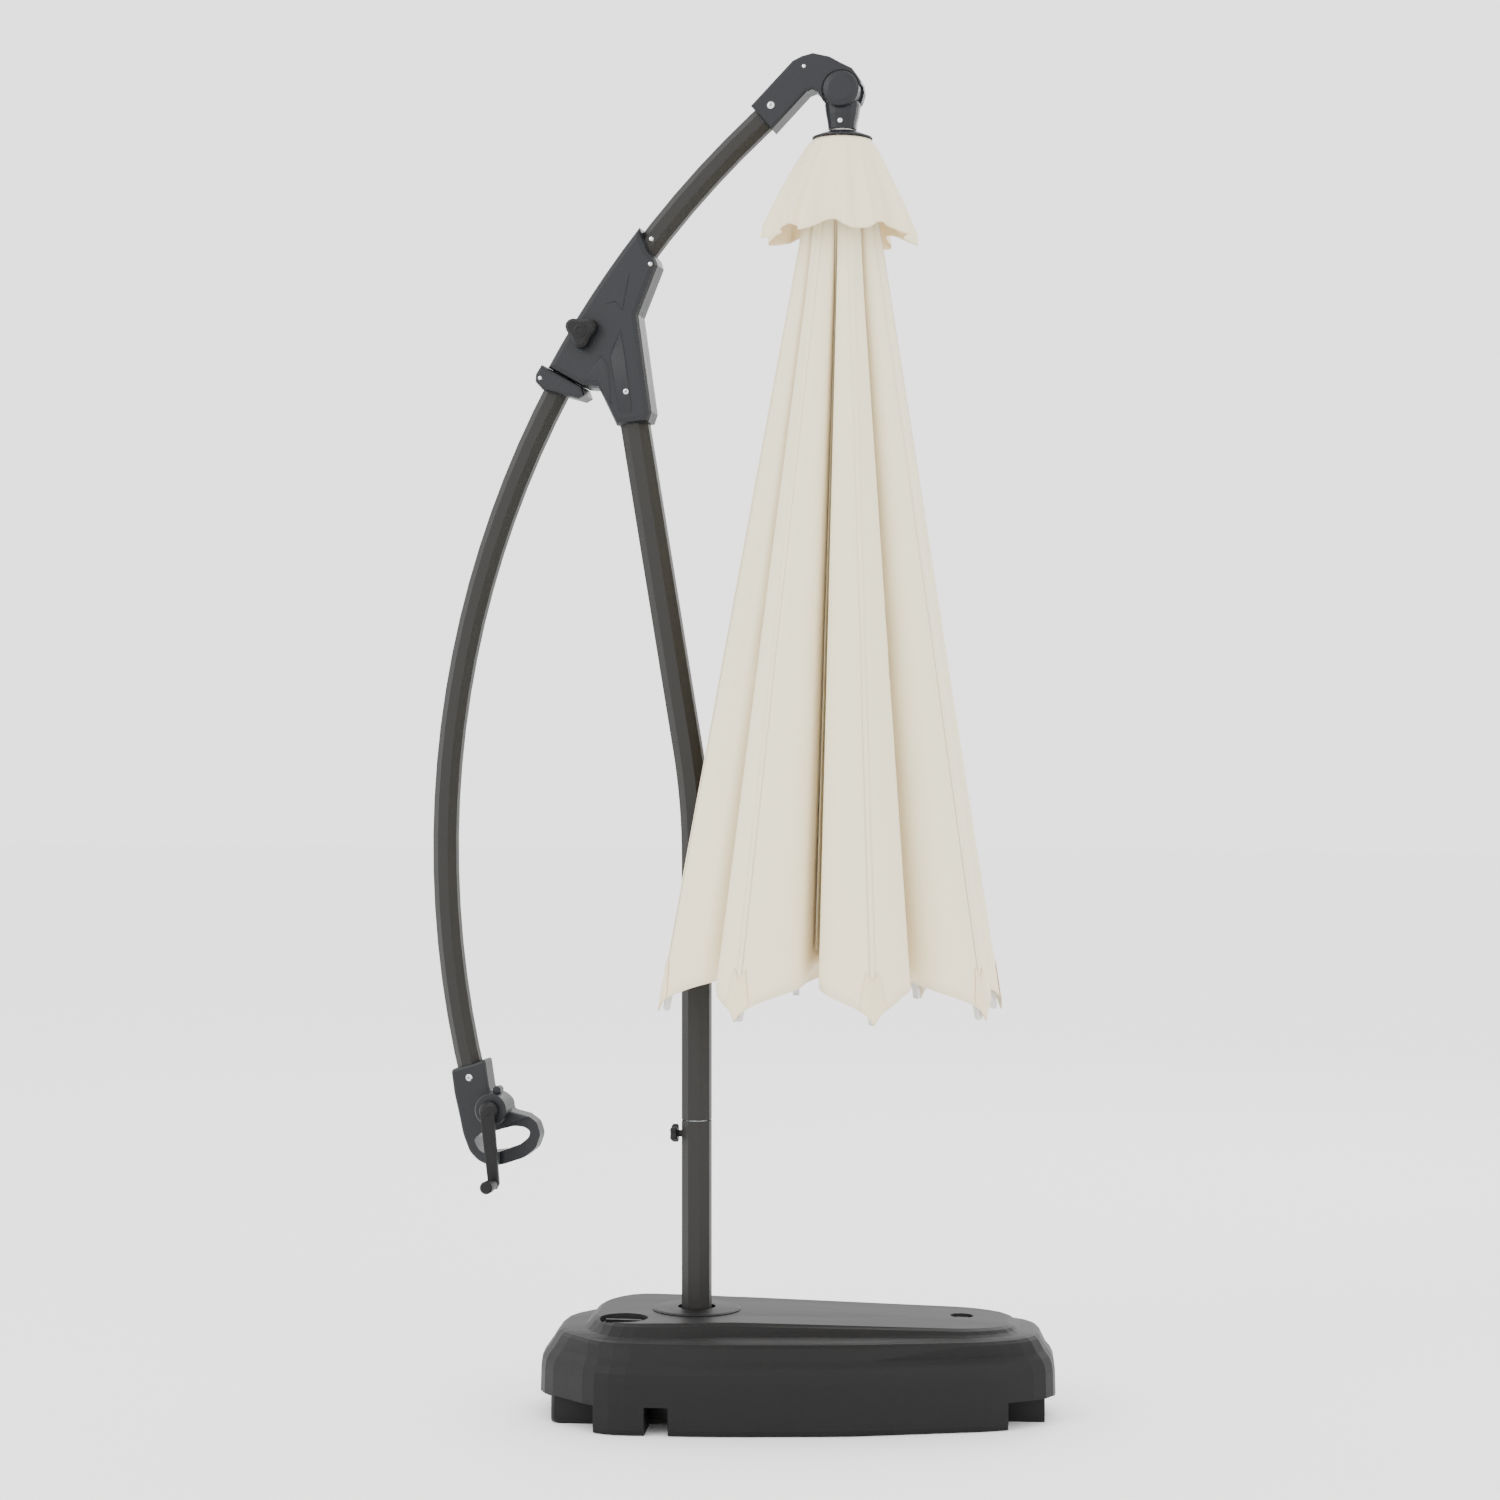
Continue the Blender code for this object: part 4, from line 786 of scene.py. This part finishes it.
# ---- fittings --------------------------------------------------------------------------
@dataclass
class Fittings:
    """Painted-shade screw sockets, the knob's button, the bracket's raised panels and the neck bolt."""

    bracket_half: float = 0.036
    head_half: float = 0.0275
    housing_half: float = 0.026

    def sockets(self, tree: Tree) -> None:
        """Sets a dark hexagon in each screw head, painted shade for the socket's recess.

        Args:
            tree: The socket tree.
        """
        for name, body, spots, half in (
                ("bracket_sockets", Body.MAST, [self.mast_screw()], self.bracket_half),
                ("head_sockets", Body.BOOM, [arc_point(49.6, ARC_RADIUS + 0.004)], self.head_half),
                ("housing_sockets", Body.BOOM, [arc_point(-13.9)], self.housing_half)):
            points = [Vector((s.x, side * (half + 0.0024), s.z)) for s in spots for side in (-1, 1)]
            made = tree.run(name, points, [], {"Radius": 0.0026, "Depth": 0.0010})
            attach(made, body.value)
        LOG.info("screw sockets made")

    def mast_screw(self) -> Vector:
        """Where the mast's screw crosses the boom's plane."""
        tangent = MAST_BEND_RADIUS * math.tan(MAST_LEAN / 2)
        last = Vector((MAST_BEND_RADIUS * (math.cos(MAST_LEAN) - 1), 0.0,
                       MAST_BEND_HEIGHT - tangent + MAST_BEND_RADIUS * math.sin(MAST_LEAN)))
        along = Vector((-math.sin(MAST_LEAN), 0.0, math.cos(MAST_LEAN)))
        return last + along * (MAST_SCREW_HEIGHT - last.z) / along.z

    def button(self) -> None:
        """The round button in the knob's middle."""
        low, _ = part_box("lock_knob")
        x, z, face = KNOB_X, KNOB_Z, low[1]
        rings = ((0.0125, 0.0010), (0.0125, -0.0008), (0.0105, -0.0022), (0.0070, -0.0022),
                 (0.0062, -0.0012), (0.0, -0.0010))
        points, count = [], 32
        for radius, out in rings:
            for k in range(count):
                angle = 2 * math.pi * k / count
                points.append(Vector((x + max(radius, 1e-4) * math.cos(angle), face + out,
                                      z + max(radius, 1e-4) * math.sin(angle))))
        faces = grid_faces(len(rings), count, wrap=True)
        faces += [tuple(range(count)), tuple(reversed(range((len(rings) - 1) * count, len(rings) * count)))]
        made = make_piece("knob_button", points, faces, KNOB_PLASTIC)
        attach(made, Body.KNOB.value)

    def panels(self) -> None:
        """The raised panels that give the bracket's faces their moulded lines."""
        arrow = [Vector(p) for p in ((-0.1130, 0, 2.0120), (-0.1577, 0, 1.9549), (-0.1399, 0, 1.9600),
                                     (-0.1260, 0, 1.9420))]
        throat = [Vector(p) for p in ((-0.1650, 0, 1.8660), (-0.1980, 0, 1.8215), (-0.1730, 0, 1.8200),
                                      (-0.1470, 0, 1.7760), (-0.1500, 0, 1.8480))]
        socket = [Vector(p) for p in ((-0.1300, 0, 1.9150), (-0.1500, 0, 1.8650), (-0.1330, 0, 1.7600),
                                      (-0.1080, 0, 1.7600), (-0.1180, 0, 1.8400))]
        for side, word in ((-1, "near"), (1, "far")):
            for name, outline in (("arrow_panel", arrow), ("throat_panel", throat),
                                  ("socket_panel", socket)):
                corners = [(p.x, p.z) for p in outline]
                inner, outer = side * (self.bracket_half - 0.0004), side * (self.bracket_half + 0.0014)
                points, faces = plate(corners, inner, outer, 0.10)
                made = make_piece(f"{name}_{word}", points, faces, BLACK_PLASTIC)
                bevel = made.modifiers.new("edge", "BEVEL")
                bevel.width = 0.0008
                bevel.segments = 2
                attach(made, Body.MAST.value)
        LOG.info("bracket panels made")

    def neck_bolt(self) -> None:
        """The bolt head low on the near side of the neck."""
        x, z = HEAD_PIVOT.x - 0.001, NECK_BOLT_HEIGHT
        rings = ((0.0042, -0.0235), (0.0042, -0.0268), (0.0030, -0.0276), (0.0003, -0.0278))
        count = 20
        points = [Vector((x + r * math.cos(2 * math.pi * k / count), y,
                          z + r * math.sin(2 * math.pi * k / count)))
                  for r, y in rings for k in range(count)]
        faces = grid_faces(len(rings), count, wrap=True)
        faces += [tuple(range(count)), tuple(reversed(range((len(rings) - 1) * count, len(rings) * count)))]
        made = make_piece("neck_bolt", points, faces, ZINC)
        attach(made, Body.CANOPY.value)

    def build(self, tree: Tree) -> None:
        """Makes every fitting.

        Args:
            tree: The socket tree.
        """
        self.sockets(tree)
        self.button()
        self.panels()
        self.neck_bolt()


# ---- studio ----------------------------------------------------------------------------
@dataclass
class Studio:
    """A pale floor, soft light and the camera."""

    camera_at: tuple[float, float, float] = (1.111, -5.222, 1.167)
    turn: float = math.radians(11.0)
    lens: float = 72.38

    def build(self) -> None:
        """Lays the floor and sets the light and the camera."""
        half = FLOOR_HALF
        floor = make_piece("floor", [Vector(p) for p in ((-half, -half, 0), (half, -half, 0),
                                                         (half, half, 0), (-half, half, 0))],
                           [(0, 1, 2, 3)], FLOOR)
        world = bpy.data.worlds.new("studio")
        world.use_nodes = True
        sky = world.node_tree.nodes["Background"]
        sky.inputs["Color"].default_value = (1.0, 1.0, 1.0, 1.0)
        sky.inputs["Strength"].default_value = 2.4
        bpy.context.scene.world = world
        for name, at, power, width in (("key", (-3.2, -4.2, 4.2), 130.0, 2.5),
                                       ("fill", (4.4, -3.4, 2.6), 45.0, 2.5),
                                       ("rim", (1.5, 4.2, 3.8), 70.0, 2.5)):
            data = bpy.data.lights.new(name, "AREA")
            data.energy = power
            data.size = width
            lamp = bpy.data.objects.new(name, data)
            lamp.location = at
            aim = Vector((0.1, 0.0, 1.2)) - Vector(at)
            lamp.rotation_euler = aim.to_track_quat("-Z", "Y").to_euler()
            bpy.context.collection.objects.link(lamp)
        data = bpy.data.cameras.new("camera")
        data.lens = self.lens
        data.sensor_width = 36.0
        camera = bpy.data.objects.new("camera", data)
        camera.location = self.camera_at
        camera.rotation_euler = (math.radians(90), 0.0, self.turn)
        bpy.context.collection.objects.link(camera)
        bpy.context.scene.camera = camera


def dress_frame(frame: dict) -> None:
    """Gives every CAD node the finish of its slot.
    """
    slots = {part["node"]: part["material_slot"] for part in frame["record"]["subparts"]}
    for name, node in frame["nodes"].items():
        finish = SLOT_FINISHES[slots[name]]
        if name in ("lock_knob", "thumb_screw", "crank_grip", "crank_arm"):
            finish = KNOB_PLASTIC
        node.data.materials.clear()
        node.data.materials.append(finish.make())
        node.data.shade_smooth()
        node.data.set_sharp_from_angle(angle=SHARP_ANGLE)
    LOG.info("dressed %d nodes", len(frame["nodes"]))


def main(frame: dict) -> None:
    """Builds the parasol over its frame.
    """
    logging.basicConfig(level=logging.INFO)
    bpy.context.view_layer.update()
    dress_frame(frame)
    stitches = stitch_tree()
    FurledCanopy().build(stitches)
    Flounce().build(stitches)
    Fittings().build(socket_tree())
    Studio().build()


if __name__ == "__main__":
    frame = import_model()
    main(frame)
